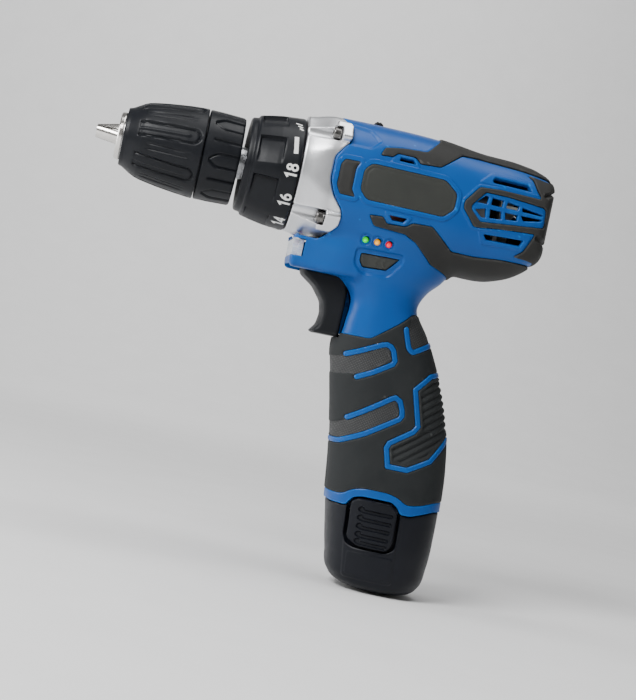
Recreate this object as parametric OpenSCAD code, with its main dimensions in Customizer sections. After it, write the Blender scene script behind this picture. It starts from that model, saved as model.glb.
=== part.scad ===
// Cordless drill driver, twelve-volt class, with a slide-in battery pack.
// +X runs from the chuck to the rear cap, +Z is up, Y = 0 is the parting plane of the two shells.
// The origin is under the middle of the drill, on the plane of the battery's flat base.

/* [Layout] */
// Height of the spindle axis above the battery base
axis_z = 169.5; // [168:0.5:171]
// Distance of the jaw tips and of the rear cap from the origin
half_length = 100; // [99:0.5:101]
// Rearward lean of the handle
grip_lean = 7; // [6.5:0.1:7.5]

/* [Housing] */
// Largest half width of the motor housing
housing_half_w = 28.3; // [27.5:0.1:29]
// Wall thickness of the two shells
shell_wall = 2.2; // [2:0.1:2.4]
// Height of the rubber over the shell
rubber_rise = 0.7; // [0.5:0.1:0.9]
// Depth of the rubber's recess in the shell
rubber_sink = 0.9; // [0.7:0.1:1.1]
// Gap between pieces that move past each other
free_gap = 0.35; // [0.3:0.05:0.4]

/* [Chuck] */
// Outer radius of the chuck sleeves
sleeve_r = 19.7; // [19.5:0.1:20]
// Angle of the jaws to the spindle axis
jaw_angle = 13; // [12:0.5:14]
// Radius of a round jaw
jaw_r = 3.2; // [3:0.1:3.3]
// Radius of the hollow left between the closed jaws
jaw_bite_r = 0.75; // [0.6:0.05:0.9]
// Radius of the largest bit shank
shank_r = 5; // [4.8:0.1:5.2]
// Flutes around each chuck sleeve
flutes = 14; // [10:1:16]

/* [Torque collar] */
// Outer radius of the collar at its rear edge
collar_r = 24.8; // [24.5:0.1:25]
// Grip pockets around the collar
collar_pockets = 9; // [8:1:10]

/* [Gear train] */
// Tooth module
tooth_module = 0.6; // [0.59:0.01:0.6]
// Teeth on each sun gear
sun_teeth = 12; // [12:1:12]
// Teeth on each planet gear
planet_teeth = 18; // [18:1:18]
// Pressure angle of the teeth
pressure_angle = 25; // [24:1:26]
// Backlash at the pitch circle
backlash = 0.14; // [0.12:0.01:0.16]
// Radius of a planet pin
pin_r = 2; // [1.8:0.1:2.1]
// Radial clearance of running fits
running_fit = 0.05; // [0.04:0.01:0.06]

/* [Motor] */
// Outer radius of the motor can
can_r = 15.5; // [15:0.1:15.6]
// Radius of the motor shaft
shaft_r = 1.6; // [1.5:0.1:1.7]

/* [Battery] */
// Radius of one battery cell
cell_r = 9; // [8.9:0.05:9]
// Length of one battery cell
cell_l = 65; // [64:0.5:66]
// Half width of the battery case
pack_half_w = 22.1; // [22:0.1:22.3]

/* [Controls] */
// Travel of the trigger
trigger_travel = 6; // [5:0.5:6.5]
// Travel of the two-speed switch
speed_travel = 4; // [3.5:0.5:4]
// Travel of the direction button to each side
direction_travel = 2.5; // [2:0.5:3]

/* [Hidden] */
$fn = 64;
shell_fn = 20;      // corners of a hulled slice
bore_fn = 24;       // corners of the round rooms inside the shells
thin = 0.02;        // thickness of a hulled slice
far = 200;          // longer than the drill, for cuts that run through
eps = 0.01;

// Stations along the spindle axis
jaw_tip_x = -half_length;
nose_x = -90.8;
sleeve_front_x = -88.2;
sleeve_seam_x = -54;
sleeve_rear_x = -38;
collar_front_x = -36;
collar_rear_x = -13.2;
head_front_x = -12.8;
head_rear_x = 8;
casing_front_x = -9;
casing_rear_x = 24;
stage_b_x = -5;     // front face of the output stage's planets
stage_a_x = 8;      // front face of the input stage's planets
can_front_x = 26;
can_rear_x = 72;
fan_x = 76;

// Gear sizes
ring_teeth = sun_teeth + 2 * planet_teeth;
orbit_r = tooth_module * (sun_teeth + planet_teeth) / 2;
addendum = 0.75 * tooth_module;
dedendum = 1.2 * tooth_module;
gear_b_w = 8;
gear_a_w = 6;
ring_outer_r = 16.4;
casing_r = 17.6;
carrier_r = 12.2;
journal_r = 6;      // spindle radius in its bearings
bearing_r = 11;
nose_tube_r = 14;   // tube of the gearbox head that carries the collar

// Handle: rows of height, front edge, rear edge and half width
handle_rows = [[150, 6, 61, 24], [138, 9, 60.5, 20.6], [131, 13, 54.5, 18.8], [124, 19.3, 51.7, 18],
    [112, 19.6, 58.6, 18], [102, 18.6, 64, 18.6], [90, 20.9, 69.8, 19.6], [76, 23.9, 74.6, 20.5],
    [58, 27.2, 78, 21.4], [35, 30.1, 79.6, pack_half_w]];
// Motor housing: rows of X, half width, height above and depth below the axis
body_rows = [[-2, 26.5, 28.3, 26.5], [16, 28.2, 28.6, 27.3], [48, housing_half_w, 28, 27.5],
    [64, 27.8, 26.2, 27], [82, 27, 25.4, 25.6], [90, 26, 24, 23], [95.5, 24.4, 21.5, 19.5],
    [98.5, 22.8, 18, 15.5], [half_length - thin, 20.5, 12.5, 10.5]];
// Battery case: rows of height, front edge, rear edge and half width
case_rows = [[41, 29.1, 79.4, pack_half_w - 0.1], [30, 31.2, 79.6, pack_half_w],
    [15, 34.2, 79.2, pack_half_w - 0.6], [5.5, 36.2, 77.6, pack_half_w - 1.8],
    [1.4, 38.4, 75, pack_half_w - 3.4], [0, 41, 72.5, pack_half_w - 5.1]];
// Rear cap's boundary with the shells, and the inner face of the shells' rear wall
bumper_x = 93.5;
rear_wall_x = 96.4;
// Where the body screws' heads rest, to the right of the parting plane
screw_seat_y = 6.2;
// Half gap between the left and right rubber pieces
seam_gap = 0.15;

// Trigger, switch and their shared plunger
trigger_half_w = 8.2;
switch_front_x = 20.2 + trigger_travel;
switch_rear_x = 46.2;
plunger_r = 3;
plunger_z = 122;
plunger_rear_x = 27.6;
spring_rear_x = 42;

// Battery: lengths along the handle, from the case's floor
cells_z = 3.2;
stem_wide_z = 72;
stem_top_z = 81;
stem_shift = 5;     // how far the cells sit behind the handle's sliding axis
stem_wall = 0.6;
foot_gap = 0.4;     // between the shells' foot and the case

// Latch: depth of its faces from the parting plane, and its pivot
latch_in_y = 19.6;
latch_room_y = 18.2;
latch_pin_y = 20.6;
latch_pin_z = 20.2;
latch_pin_r = 1;

// ---- shared shapes ----

// Children drawn in a plane across the axis, pushed along +X from x
module along_x(x) { translate([x, 0, axis_z]) rotate([90, 0, 90]) children(); }

module disc_x(x0, x1, r) { along_x(x0) cylinder(h = x1 - x0, r = r); }

module tube_x(x0, x1, r_out, r_in) {
    difference() {
        disc_x(x0, x1, r_out);
        disc_x(x0 - 1, x1 + 1, r_in);
    }
}

// Children drawn in the side view (x, z), pushed from y0 to y1
module side_prism(y0, y1) { translate([0, y1, 0]) rotate([90, 0, 0]) linear_extrude(y1 - y0) children(); }

// Point of a rounded-square outline at angle a, with radii rx and ry
function squircle_point(a, rx, ry, n) =
    [rx * sign(cos(a)) * pow(abs(cos(a)), 2 / n), ry * sign(sin(a)) * pow(abs(sin(a)), 2 / n)];

module body_slice(row, grow) {
    along_x(row[0]) linear_extrude(thin) polygon([for (i = [0:shell_fn - 1]) let (a = 360 * i / shell_fn)
        squircle_point(a, row[1] + grow, (sin(a) > 0 ? row[2] : row[3]) + grow, 2.7)]);
}

module upright_slice(row, grow, n) {
    translate([(row[1] + row[2]) / 2, 0, row[0]]) linear_extrude(thin)
        polygon([for (i = [0:shell_fn - 1])
            squircle_point(360 * i / shell_fn, (row[2] - row[1]) / 2 + grow, row[3] + grow, n)]);
}

module body_solid(grow = 0) {
    for (i = [0:len(body_rows) - 2]) hull() {
        body_slice(body_rows[i], grow);
        body_slice(body_rows[i + 1], grow);
    }
}

module upright_solid(rows, grow = 0, n = 2.5) {
    for (i = [0:len(rows) - 2]) hull() {
        upright_slice(rows[i], grow, n);
        upright_slice(rows[i + 1], grow, n);
    }
}

// Block under the gearbox head that carries the work light, ahead of the handle
module lip_solid(grow = 0) {
    hull() for (s = [-1, 1]) {
        translate([-7 - grow, s * (11 + grow), 131 - grow]) cylinder(h = 13, r = 1.5);
        translate([16, s * (17 + grow), 131 - grow]) cylinder(h = 15, r = 1.5);
        translate([16, s * (19 + grow), 144]) cylinder(h = 5, r = 1.5);
        translate([-7 - grow, s * (14 + grow), 143]) cylinder(h = 4, r = 1.5);
    }
}

module housing_solid(grow = 0) {
    body_solid(grow);
    upright_solid(handle_rows, grow);
    lip_solid(grow);
}

// ---- outlines in the side view ----

// Edge of the gearbox head, seen from the side, with room to spare on the open front
module head_outline(grow = 0) {
    offset(delta = grow) polygon([[-40, 143.6], [1, 143.6], [6, 148], [7.5, 149.5], [7.5, 156], [2.5, 162],
        [0, 168.5], [0, 178.5], [3, 183], [5.5, 186], [5.5, 193], [-0.5, 199], [-0.5, 220], [-40, 220]]);
}

module upper_band_outline() {
    polygon([[19, 183], [24, 183], [25.5, 185], [34, 185], [36, 183], [45.5, 183], [54.5, 189.6], [76, 189],
        [86, 187.5], [bumper_x, 185], [bumper_x, 205], [46, 205], [41.5, 191.6], [36.5, 188], [22.5, 187.5]]);
}

module lower_band_outline() {
    polygon([[20, 158], [25, 157.5], [27, 155.5], [35, 155.5], [37.5, 157.6], [46, 157.8], [56, 148.8],
        [75.5, 149], [bumper_x, 149.4], [bumper_x, 125], [62, 139.4], [51, 142.2], [40.5, 152.2],
        [23.5, 153]]);
}

module grille_ring_outline() {
    polygon([[57.5, 172.5], [62.5, 178.3], [bumper_x, 177.6], [bumper_x, 163], [65, 161.5], [57.5, 168]]);
}

module grille_panel_outline() {
    polygon([[60.5, 172], [63.5, 176.3], [78, 175.8], [bumper_x - 1.5, 174.6], [bumper_x - 1.5, 166],
        [78, 165.6], [64.5, 164.8], [60.5, 169]]);
}

module label_outline() {
    polygon([[16, 178.5], [48, 178.5], [54, 173.8], [54, 167.2], [50, 163], [16.5, 163], [13, 166.5],
        [13, 175.2]]);
}

module side_pad_outline() {
    polygon([[3, 175.5], [4.5, 178], [11, 178], [9.6, 175], [9.6, 166], [11.5, 163], [5, 163], [3, 166.5]]);
}

module grip_outline() {
    polygon([[18, 104], [21, 107], [32, 106.5], [44, 116], [49, 121], [90, 118], [90, 44.6], [74.5, 43.5],
        [67, 41], [61.5, 40], [57, 42.5], [52.5, 43.5], [42.5, 43.5], [38, 42.5], [34, 39], [20, 40]]);
}

// The shells' lower edge, arched over the latches; the battery case fits below it
module foot_outline(drop) {
    polygon([[0, 60], [0, 38 - drop], [27, 37 - drop], [31, 35.5 - drop], [36.5, 35.5 - drop],
        [37.5, 37.5 - drop], [39, 39.5 - drop], [42.5, 40.5 - drop], [55, 40.5 - drop], [58, 38.5 - drop],
        [59.5, 36 - drop], [64, 36 - drop], [74.5, 39.5 - drop], [100, 40.4 - drop], [100, 60]]);
}

// A ridge of the shell that shows through the rubber: a line of width w along the points
module ridge_2d(points, w = 1.9) {
    for (i = [0:len(points) - 2]) hull() {
        translate(points[i]) circle(d = w, $fn = 8);
        translate(points[i + 1]) circle(d = w, $fn = 8);
    }
}

module grip_ridges_2d() {
    ridge_2d([[46.5, 113], [49, 106], [51, 104.4], [58, 108.5]]);
    ridge_2d([[28, 100], [37.5, 105], [41, 105.2], [42.8, 103.5], [44.2, 99.5], [42, 96.4], [30, 90]]);
    ridge_2d([[24, 60.6], [29, 61.6], [38, 66.6], [50.8, 75.4], [51.6, 78], [49.6, 83.6], [47, 84],
        [35.5, 75.8], [30, 72]]);
    ridge_2d([[66, 97.5], [61.5, 96], [55.4, 89.2], [59.6, 74], [58, 71.4], [48.8, 64.8], [48, 62.5],
        [50, 55], [58.5, 55], [68, 60.5], [73, 69]]);
}

// Vent slots and grille holes of one side
module vents_2d() {
    polygon([[24.5, 181], [26.5, 184], [32.5, 184], [35, 181.5]]);
    polygon([[26, 158.2], [28.5, 156.2], [34, 156.2], [36.5, 158.2]]);
    polygon([[67.5, 183.5], [80, 182.5], [84, 181], [68.5, 181]]);
    polygon([[68.5, 159], [84.5, 160.2], [83.5, 157.8], [69.5, 156.8]]);
    for (s = [0, 1]) translate([0, s * 341.2, 0]) mirror([0, s, 0]) {
        polygon([[62, 171.3], [65.8, 174.6], [66.6, 171.3]]);
        for (x = [68, 74.5, 81]) polygon([[x, 171.3], [x + 0.6, 174.7], [x + 5, 174.4], [x + 5, 171.3]]);
        polygon([[87.5, 171.3], [87.5, 174], [90, 171.6]]);
    }
}

// ---- housing ----

// Room inside the housing
module housing_hollow() {
    difference() {
        union() {
            body_solid(-shell_wall);
            upright_solid([for (r = handle_rows) r[0] < 40 ? [r[0] - 1, r[1], r[2], r[3]] : r], -shell_wall);
            lip_solid(-shell_wall);
        }
        // webs that carry the motor
        for (x = [36, 62]) translate([x, -40, axis_z - 22]) cube([2.2, 80, 62]);
        // the rear wall
        translate([rear_wall_x, -40, axis_z - 40]) cube([10, 80, 80]);
    }
}

// The slot in which the trigger and its plunger travel
module trigger_slot() {
    w = trigger_half_w + 0.4;
    translate([-6, -w, 103.5]) cube([switch_front_x + 6.3, 2 * w, 28.2]);
}

module status_led_at(i) { translate([20.5 + 5 * i, 0, 147]) children(); }

module direction_button_2d(grow = 0) {
    offset(delta = grow) polygon([[20.2, 141], [36.6, 141.4], [32, 136.2], [22.2, 135.6], [20.2, 138]]);
}

module body_screw_at() {
    for (p = [[30, 191], [88, 180.6], [88, 160], [58, 151.6], [15, 139], [50, 128], [73.2, 70]])
        translate([p[0], 0, p[1]]) children();
}

module shell_half(side) {
    color([0.04, 0.36, 0.68]) difference() {
        intersection() {
            union() {
                difference() {
                    housing_solid();
                    housing_hollow();
                }
                // screw bosses
                intersection() {
                    housing_solid(-1);
                    body_screw_at() rotate([90, 0, 0]) cylinder(h = 60, r = 3, center = true, $fn = 14);
                }
            }
            translate([-far / 2, side > 0 ? 0 : -far / 2, 0]) cube([far, far / 2, 220]);
        }
        // open front for the gearbox head, open bottom for the battery
        side_prism(-40, 40) head_outline(0.15);
        disc_x(-20, casing_rear_x + 0.5, casing_r + 0.2, $fn = bore_fn);
        disc_x(casing_rear_x, rear_wall_x, can_r + 0.15, $fn = bore_fn);
        battery_stem(28, free_gap);
        trigger_slot();
        // recesses of the rubber, the plates and the pads
        rubber_recess(side) {
            upper_band_outline();
            lower_band_outline();
            difference() {
                grille_ring_outline();
                grille_panel_outline();
            }
            difference() {
                grip_outline();
                grip_ridges_2d();
            }
            label_outline();
            side_pad_outline();
        }
        bumper_region() housing_skin(-rubber_sink, 2);
        // openings of the side
        side_prism(-40, 40) difference() {
            translate([0, 30]) square([100, 20]);
            foot_outline(0);
        }
        side_prism(side > 0 ? 20 : -30, side > 0 ? 30 : -20) vents_2d();
        side_prism(-30, 30) direction_button_2d(0.3);
        if (side < 0) for (i = [0:2]) status_led_at(i) rotate([90, 0, 0]) cylinder(h = 40, r = 1.6, $fn = 16);
        body_screw_holes(side);
        head_screw_at() rotate([0, 90, 0]) cylinder(h = 14, r = 1.6, $fn = 16);
        translate([7.8, -4.6, 190]) cube([16 + speed_travel, 9.2, 15]);
        work_light_room();
    }
}

module body_screw_holes(side) {
    body_screw_at() rotate([-90, 0, 0]) cylinder(h = 30, r = 1.3, center = true, $fn = 16);
    if (side > 0) body_screw_at() translate([0, screw_seat_y, 0]) rotate([-90, 0, 0])
        cylinder(h = 40, r = 2.6, $fn = 16);
}

// A skin of the housing between two growths
module housing_skin(inner, outer) {
    difference() {
        housing_solid(outer);
        housing_solid(inner);
    }
}

module rubber_recess(side) {
    intersection() {
        housing_skin(-rubber_sink, 2);
        side_prism(side > 0 ? 0 : -40, side > 0 ? 40 : 0) children();
    }
}

// Keeps what lies on one side, clear of the seam and of the screws' wells
module rubber_side(side) {
    difference() {
        intersection() {
            children();
            translate([-far / 2, side > 0 ? seam_gap : -far / 2, 0]) cube([far, far / 2 - seam_gap, 220]);
        }
        body_screw_holes(side);
        trigger_slot();
    }
}

module bumper_region() {
    intersection() {
        children();
        translate([bumper_x, -40, 130]) cube([20, 80, 80]);
    }
}

module band_half(side) {
    color([0.28, 0.28, 0.27]) rubber_side(side) intersection() {
        housing_skin(-rubber_sink + eps, rubber_rise);
        side_prism(-40, 40) offset(delta = -0.04) {
            upper_band_outline();
            lower_band_outline();
            difference() {
                grille_ring_outline();
                grille_panel_outline();
            }
        }
    }
}

module grip_half(side) {
    color([0.2, 0.22, 0.24]) rubber_side(side) intersection() {
        housing_skin(-rubber_sink + eps, rubber_rise);
        side_prism(-40, 40) offset(delta = -0.04) difference() {
            grip_outline();
            grip_ridges_2d();
        }
    }
}

module shell_left() { shell_half(-1); }

module shell_right() { shell_half(1); }

module band_left() { band_half(-1); }

module band_right() { band_half(1); }

module grip_left() { grip_half(-1); }

module grip_right() { grip_half(1); }

module rear_bumper() {
    color([0.28, 0.28, 0.27]) intersection() {
        translate([bumper_x + 0.05, -40, 130]) cube([half_length - bumper_x - 0.05, 80, 80]);
        difference() {
            body_solid(rubber_rise);
            body_solid(-rubber_sink + eps);
        }
    }
}

module plate_pair(low, high) {
    for (s = [-1, 1]) intersection() {
        difference() {
            body_solid(high);
            body_solid(low);
        }
        side_prism(s > 0 ? 9 : -40, s > 0 ? 40 : -9) offset(delta = -0.04) children();
    }
}

module label_plates() {
    color([0.28, 0.28, 0.26]) plate_pair(-rubber_sink + eps, 0.2) label_outline();
}

module side_pads() {
    color([0.28, 0.28, 0.26]) plate_pair(-rubber_sink + eps, rubber_rise) side_pad_outline();
}

// ---- controls and lights ----

module work_light_room() { translate([-12, -13.2, 134.8]) cube([8.2, 26.4, 7.4]); }

module work_light_lens() {
    color([0.85, 0.87, 0.95]) intersection() {
        translate([-9, -13, 135]) cube([5, 26, 7]);
        union() {
            translate([-8.3, -11.5, 135]) cube([4.3, 23, 7]);
            translate([-6, -13, 135]) cube([2, 26, 7]);
        }
    }
}

board_y = -16.4;
led_r = 1.45;
// How far each light's dome starts from the parting plane, flush with the shell there
led_face_y = [20.7, 21.7, 22.2];

module status_board() { color([0.1, 0.35, 0.15]) translate([19, board_y, 144]) cube([13, 1.2, 6]); }

module status_led(i) {
    status_led_at(i) rotate([90, 0, 0]) {
        translate([0, 0, -board_y]) cylinder(h = led_face_y[i] + board_y, r = led_r, $fn = 32);
        translate([0, 0, led_face_y[i]]) sphere(r = led_r, $fn = 32);
    }
}

module status_led_green() { color([0.1, 0.9, 0.25]) status_led(0); }

module status_led_amber() { color([1, 0.65, 0.1]) status_led(1); }

module status_led_red() { color([0.9, 0.08, 0.2]) status_led(2); }

module switch_body() {
    color([0.1, 0.1, 0.11]) difference() {
        union() {
            translate([switch_front_x, -8.5, 112]) cube([switch_rear_x - switch_front_x, 17, 18]);
            translate([37, -7, 130]) cube([9, 14, 4]);
        }
        translate([switch_front_x - 1, 0, plunger_z]) rotate([0, 90, 0])
            cylinder(h = spring_rear_x - switch_front_x + 1, r = plunger_r + running_fit);
    }
}

// The finger surface is a shallow curve between two bulges
module trigger_2d() {
    difference() {
        polygon([[-2.4, 131.2], [14.6, 131.2], [17.4, 128.4], [19, 124], [19.5, 118], [18.6, 112],
            [16.8, 105.2], [8, 104.6], [6.6, 105.4], [4, 112], [2, 121], [-1, 126.5], [-2.4, 128.4]]);
        translate([-3.4, 114]) circle(r = 13.2);
    }
}

module trigger() {
    color([0.14, 0.15, 0.17]) {
        side_prism(-trigger_half_w, trigger_half_w) trigger_2d();
        translate([17, 0, plunger_z]) rotate([0, 90, 0]) cylinder(h = plunger_rear_x - 17, r = plunger_r);
    }
}

module trigger_spring() {
    turns = 7;
    color([0.7, 0.7, 0.72]) translate([plunger_rear_x + 0.4, 0, plunger_z]) rotate([0, 90, 0])
        spring_coil(coil_r = 2.1, wire_r = 0.3, pitch = (spring_rear_x - plunger_rear_x - 0.8) / turns,
            turns = turns, sides = 5, steps = 12);
}

module direction_button() {
    end_y = 19.1 + direction_travel;
    color([0.25, 0.25, 0.25]) for (s = [-1, 1]) side_prism(s > 0 ? 12 : -end_y, s > 0 ? end_y : -12)
        direction_button_2d();
    // the bar between the two buttons, and the finger that throws the switch
    color([0.25, 0.25, 0.25]) {
        translate([23, -13, 137.2]) cube([8, 26, 3]);
        translate([27.5, -1.5, 130.6]) cube([3, 3, 7]);
    }
}

module speed_switch() {
    color([0.14, 0.14, 0.15]) {
        difference() {
            translate([9, -4, 194.6]) cube([13, 8, 2.2]);
            for (x = [10.5, 12.5]) translate([x, -5, 196.2]) cube([0.8, 10, 2]);
        }
        hull() {
            translate([15, -3.6, 196.5]) cube([6.5, 7.2, 1.5]);
            translate([16.6, -3.2, 199.2]) cube([3.6, 6.4, 1]);
        }
    }
}

module shift_yoke() {
    color([0.7, 0.7, 0.72]) difference() {
        translate([10.5, -2.6, axis_z + 12]) cube([2.2, 5.2, 194.6 - axis_z - 12]);
        disc_x(0, 20, ring_outer_r);
    }
}

// ---- gearbox ----

module gearbox_head() {
    color([0.78, 0.78, 0.79]) {
        difference() {
            union() {
                intersection() {
                    union() {
                        hull() {
                            disc_x(head_front_x, head_front_x + 1, 24.4);
                            body_slice([-1.5, 26.3, 28.3, 26.4], 0);
                        }
                        hull() {
                            body_slice([-1.5, 26.3, 28.3, 26.4], 0);
                            body_slice([head_rear_x, 27.4, 28.4, 26.8], 0);
                        }
                    }
                    side_prism(-40, 40) head_outline();
                }
                head_screw_at() rotate([0, 90, 0]) cylinder(h = 6.5, r = 4.4);
            }
            disc_x(casing_front_x, head_rear_x + 10, casing_r + 0.05);
            disc_x(-20, 0, 15);
            head_screw_at() translate([-8, 0, 0]) rotate([0, 90, 0]) cylinder(h = 9.5, r = 3);
            head_screw_at() rotate([0, 90, 0]) cylinder(h = 20, r = 1.5);
            for (i = [0:5]) along_x(head_front_x - 1) rotate(60 * i) translate([18.5, 0, 0])
                cylinder(h = 3.4, r = 2.3);
        }
        // nose tube with the bearing seats
        tube_x(-34.5, -15, nose_tube_r, bearing_r);
        tube_x(-15.02, casing_front_x, 15.02, bearing_r);
    }
}

module head_screw_at() {
    for (s = [-1, 1]) for (z = [188.3, 152.2]) translate([-1, s * 20.6, z]) children();
}

module head_screws() {
    color([0.35, 0.36, 0.38]) head_screw_at() rotate([0, 90, 0]) difference() {
        union() {
            cylinder(h = 1.4, r = 2.7);
            cylinder(h = 11, r = 1.45);
        }
        for (a = [0, 90]) rotate(a) translate([-1.7, -0.35, -1]) cube([3.4, 0.7, 1.8]);
    }
}

module body_screws() {
    color([0.35, 0.36, 0.38]) body_screw_at() translate([0, screw_seat_y, 0]) rotate([-90, 0, 0])
    difference() {
        union() {
            cylinder(h = 3.6, r = 2.4, $fn = 24);
            translate([0, 0, -12]) cylinder(h = 13, r = 1.2, $fn = 20);
        }
        for (a = [0, 90]) rotate(a) translate([-1.4, -0.3, 2.2]) cube([2.8, 0.6, 2]);
    }
}

module spindle_bearings() {
    color([0.6, 0.61, 0.63]) for (x = [-34, -15]) tube_x(x, x + 5, bearing_r, journal_r + running_fit);
}

module gear_casing() {
    color([0.15, 0.15, 0.16]) difference() {
        tube_x(casing_front_x, casing_rear_x, casing_r, ring_outer_r + 0.15);
        translate([8, -3, axis_z + 12]) cube([speed_travel + 7, 6, 12]);
    }
}

function involute_deg(r_base, r) = let (a = acos(r_base / r)) tan(a) * 180 / PI - a;

// Half angle of a tooth of a gear with n teeth at radius r; play thins the tooth
function tooth_half_angle(n, r, play) = let (rp = n * tooth_module / 2, rb = rp * cos(pressure_angle))
    90 / n - play / rp * 90 / PI + involute_deg(rb, rp) - involute_deg(rb, max(r, rb));

module gear_2d(n, tip, root, play) {
    steps = 4;
    low = max(n * tooth_module / 2 * cos(pressure_angle), root);
    polygon([for (t = [0:n - 1]) each concat(
        [for (i = [0:steps]) let (r = i == 0 ? root : low + (tip - low) * (i - 1) / (steps - 1),
            a = 360 * t / n - tooth_half_angle(n, r, play)) r * [cos(a), sin(a)]],
        [for (i = [steps:-1:0]) let (r = i == 0 ? root : low + (tip - low) * (i - 1) / (steps - 1),
            a = 360 * t / n + tooth_half_angle(n, r, play)) r * [cos(a), sin(a)]])]);
}

module outer_gear(n, w) {
    rp = n * tooth_module / 2;
    linear_extrude(w) gear_2d(n, rp + addendum, rp - dedendum, backlash / 2);
}

module ring_gear(x, w) {
    rp = ring_teeth * tooth_module / 2;
    color([0.45, 0.46, 0.48]) difference() {
        disc_x(x, x + w, ring_outer_r);
        along_x(x - 1) rotate(180 / ring_teeth) linear_extrude(w + 2)
            gear_2d(ring_teeth, rp + dedendum, rp - addendum, -backlash / 2);
    }
}

module ring_gear_front() { ring_gear(stage_b_x - 0.5, gear_b_w + 1); }

module ring_gear_rear() { ring_gear(stage_a_x - 0.5, gear_a_w + 1); }

module planet(x, w, k) {
    spin = 120 * k;
    phase = spin * (1 + sun_teeth / planet_teeth) + 180 - 180 / planet_teeth;
    color([0.6, 0.58, 0.52]) along_x(x) rotate(spin) translate([orbit_r, 0, 0]) rotate(phase - spin)
        difference() {
            outer_gear(planet_teeth, w);
            translate([0, 0, -1]) cylinder(h = w + 2, r = pin_r + running_fit);
        }
}

module planet_a1() { planet(stage_a_x, gear_a_w, 0); }

module planet_a2() { planet(stage_a_x, gear_a_w, 1); }

module planet_a3() { planet(stage_a_x, gear_a_w, 2); }

module planet_b1() { planet(stage_b_x, gear_b_w, 0); }

module planet_b2() { planet(stage_b_x, gear_b_w, 1); }

module planet_b3() { planet(stage_b_x, gear_b_w, 2); }

module planet_pins(x, l) {
    for (k = [0:2]) along_x(x) rotate(120 * k) translate([orbit_r, 0, 0]) cylinder(h = l, r = pin_r);
}

module carrier_sun() {
    plate_x = stage_a_x - 3;
    color([0.5, 0.51, 0.53]) {
        disc_x(plate_x, stage_a_x - 0.4, carrier_r);
        along_x(stage_b_x) outer_gear(sun_teeth, plate_x - stage_b_x + eps);
        planet_pins(stage_a_x - 0.5, gear_a_w + 0.8);
    }
}

module pinion() {
    color([0.6, 0.58, 0.52]) along_x(stage_a_x) difference() {
        outer_gear(sun_teeth, gear_a_w);
        translate([0, 0, -1]) cylinder(h = gear_a_w + 2, r = shaft_r);
    }
}

// ---- clutch ----

// Round wire wound along +Z
module spring_coil(coil_r, wire_r, pitch, turns, sides, steps) {
    rings = turns * steps;
    points = [for (i = [0:rings]) let (a = 360 * i / steps) for (j = [0:sides - 1]) let (b = 360 * j / sides)
        [(coil_r + wire_r * cos(b)) * cos(a), (coil_r + wire_r * cos(b)) * sin(a),
            pitch * i / steps + wire_r * sin(b)]];
    walls = [for (i = [0:rings - 1]) for (j = [0:sides - 1]) let (k = (j + 1) % sides)
        [i * sides + j, i * sides + k, (i + 1) * sides + k, (i + 1) * sides + j]];
    polyhedron(points, concat(walls, [[for (j = [sides - 1:-1:0]) j]],
        [[for (j = [0:sides - 1]) rings * sides + j]]), convexity = 8);
}

module clutch_spring() {
    color([0.62, 0.63, 0.65]) along_x(-30.6)
        spring_coil(coil_r = 16.2, wire_r = 1, pitch = 2.8, turns = 4, sides = 6, steps = 20);
}

module clutch_washer() { color([0.6, 0.61, 0.63]) tube_x(-18.2, -16.8, 20.6, nose_tube_r + 0.2); }

module clutch_balls() {
    color([0.7, 0.71, 0.73]) for (i = [0:5]) along_x(-14.4) rotate(60 * i) translate([18.5, 0, 0])
        sphere(r = 2.2, $fn = 32);
}

module torque_collar() {
    color([0.14, 0.15, 0.17]) along_x(0) difference() {
        rotate_extrude() polygon([[nose_tube_r + running_fit, collar_front_x + 1.8], [18, collar_front_x],
            [20, collar_front_x], [20.6, collar_front_x + 0.6], [20.9, -33], [21.6, -32.4], [23.9, -23],
            [collar_r - 0.3, -14], [collar_r, collar_rear_x - 0.4], [collar_r - 0.4, collar_rear_x],
            [21.4, collar_rear_x], [20.9, -32], [nose_tube_r + running_fit, -32]]);
        for (i = [0:collar_pockets - 1]) rotate(360 * i / collar_pockets) translate([23.6, -5, -31])
            cube([4, 10, 11]);
    }
}

// ---- chuck and spindle ----

module spindle() {
    color([0.55, 0.56, 0.58]) {
        disc_x(-58, sleeve_rear_x, 4.7);
        disc_x(sleeve_rear_x, collar_front_x + 1.4, 7);
        disc_x(collar_front_x + 1.39, stage_b_x - 3.4, journal_r);
        disc_x(stage_b_x - 3.41, stage_b_x - 0.4, carrier_r);
        planet_pins(stage_b_x - 0.5, gear_b_w + 0.5);
    }
}

// Axis of a jaw: radius at the tip of the closed jaws
jaw_axis_r = 2.75 - jaw_r / cos(jaw_angle);
jaw_l = 31;

// Children are drawn along +Z, which becomes jaw k's own axis from its tip
module at_jaw(k) {
    along_x(jaw_tip_x) rotate(120 * k + 90) translate([jaw_axis_r, 0, 0]) rotate([0, jaw_angle, 0])
        children();
}

module jaw(k) {
    color([0.66, 0.66, 0.68]) difference() {
        intersection() {
            at_jaw(k) translate([0, 0, -2]) cylinder(h = jaw_l + 2, r = jaw_r);
            // one third of the round, with a gap to its neighbours
            along_x(jaw_tip_x) rotate(120 * k + 90) translate([free_gap, 0, 0]) linear_extrude(60)
                polygon([[0, 0], [12, -12 * tan(60)], [12, 12 * tan(60)]]);
        }
        along_x(jaw_tip_x - 1) cylinder(h = 60, r = jaw_bite_r);
    }
}

module jaw_1() { jaw(0); }

module jaw_2() { jaw(1); }

module jaw_3() { jaw(2); }

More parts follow.
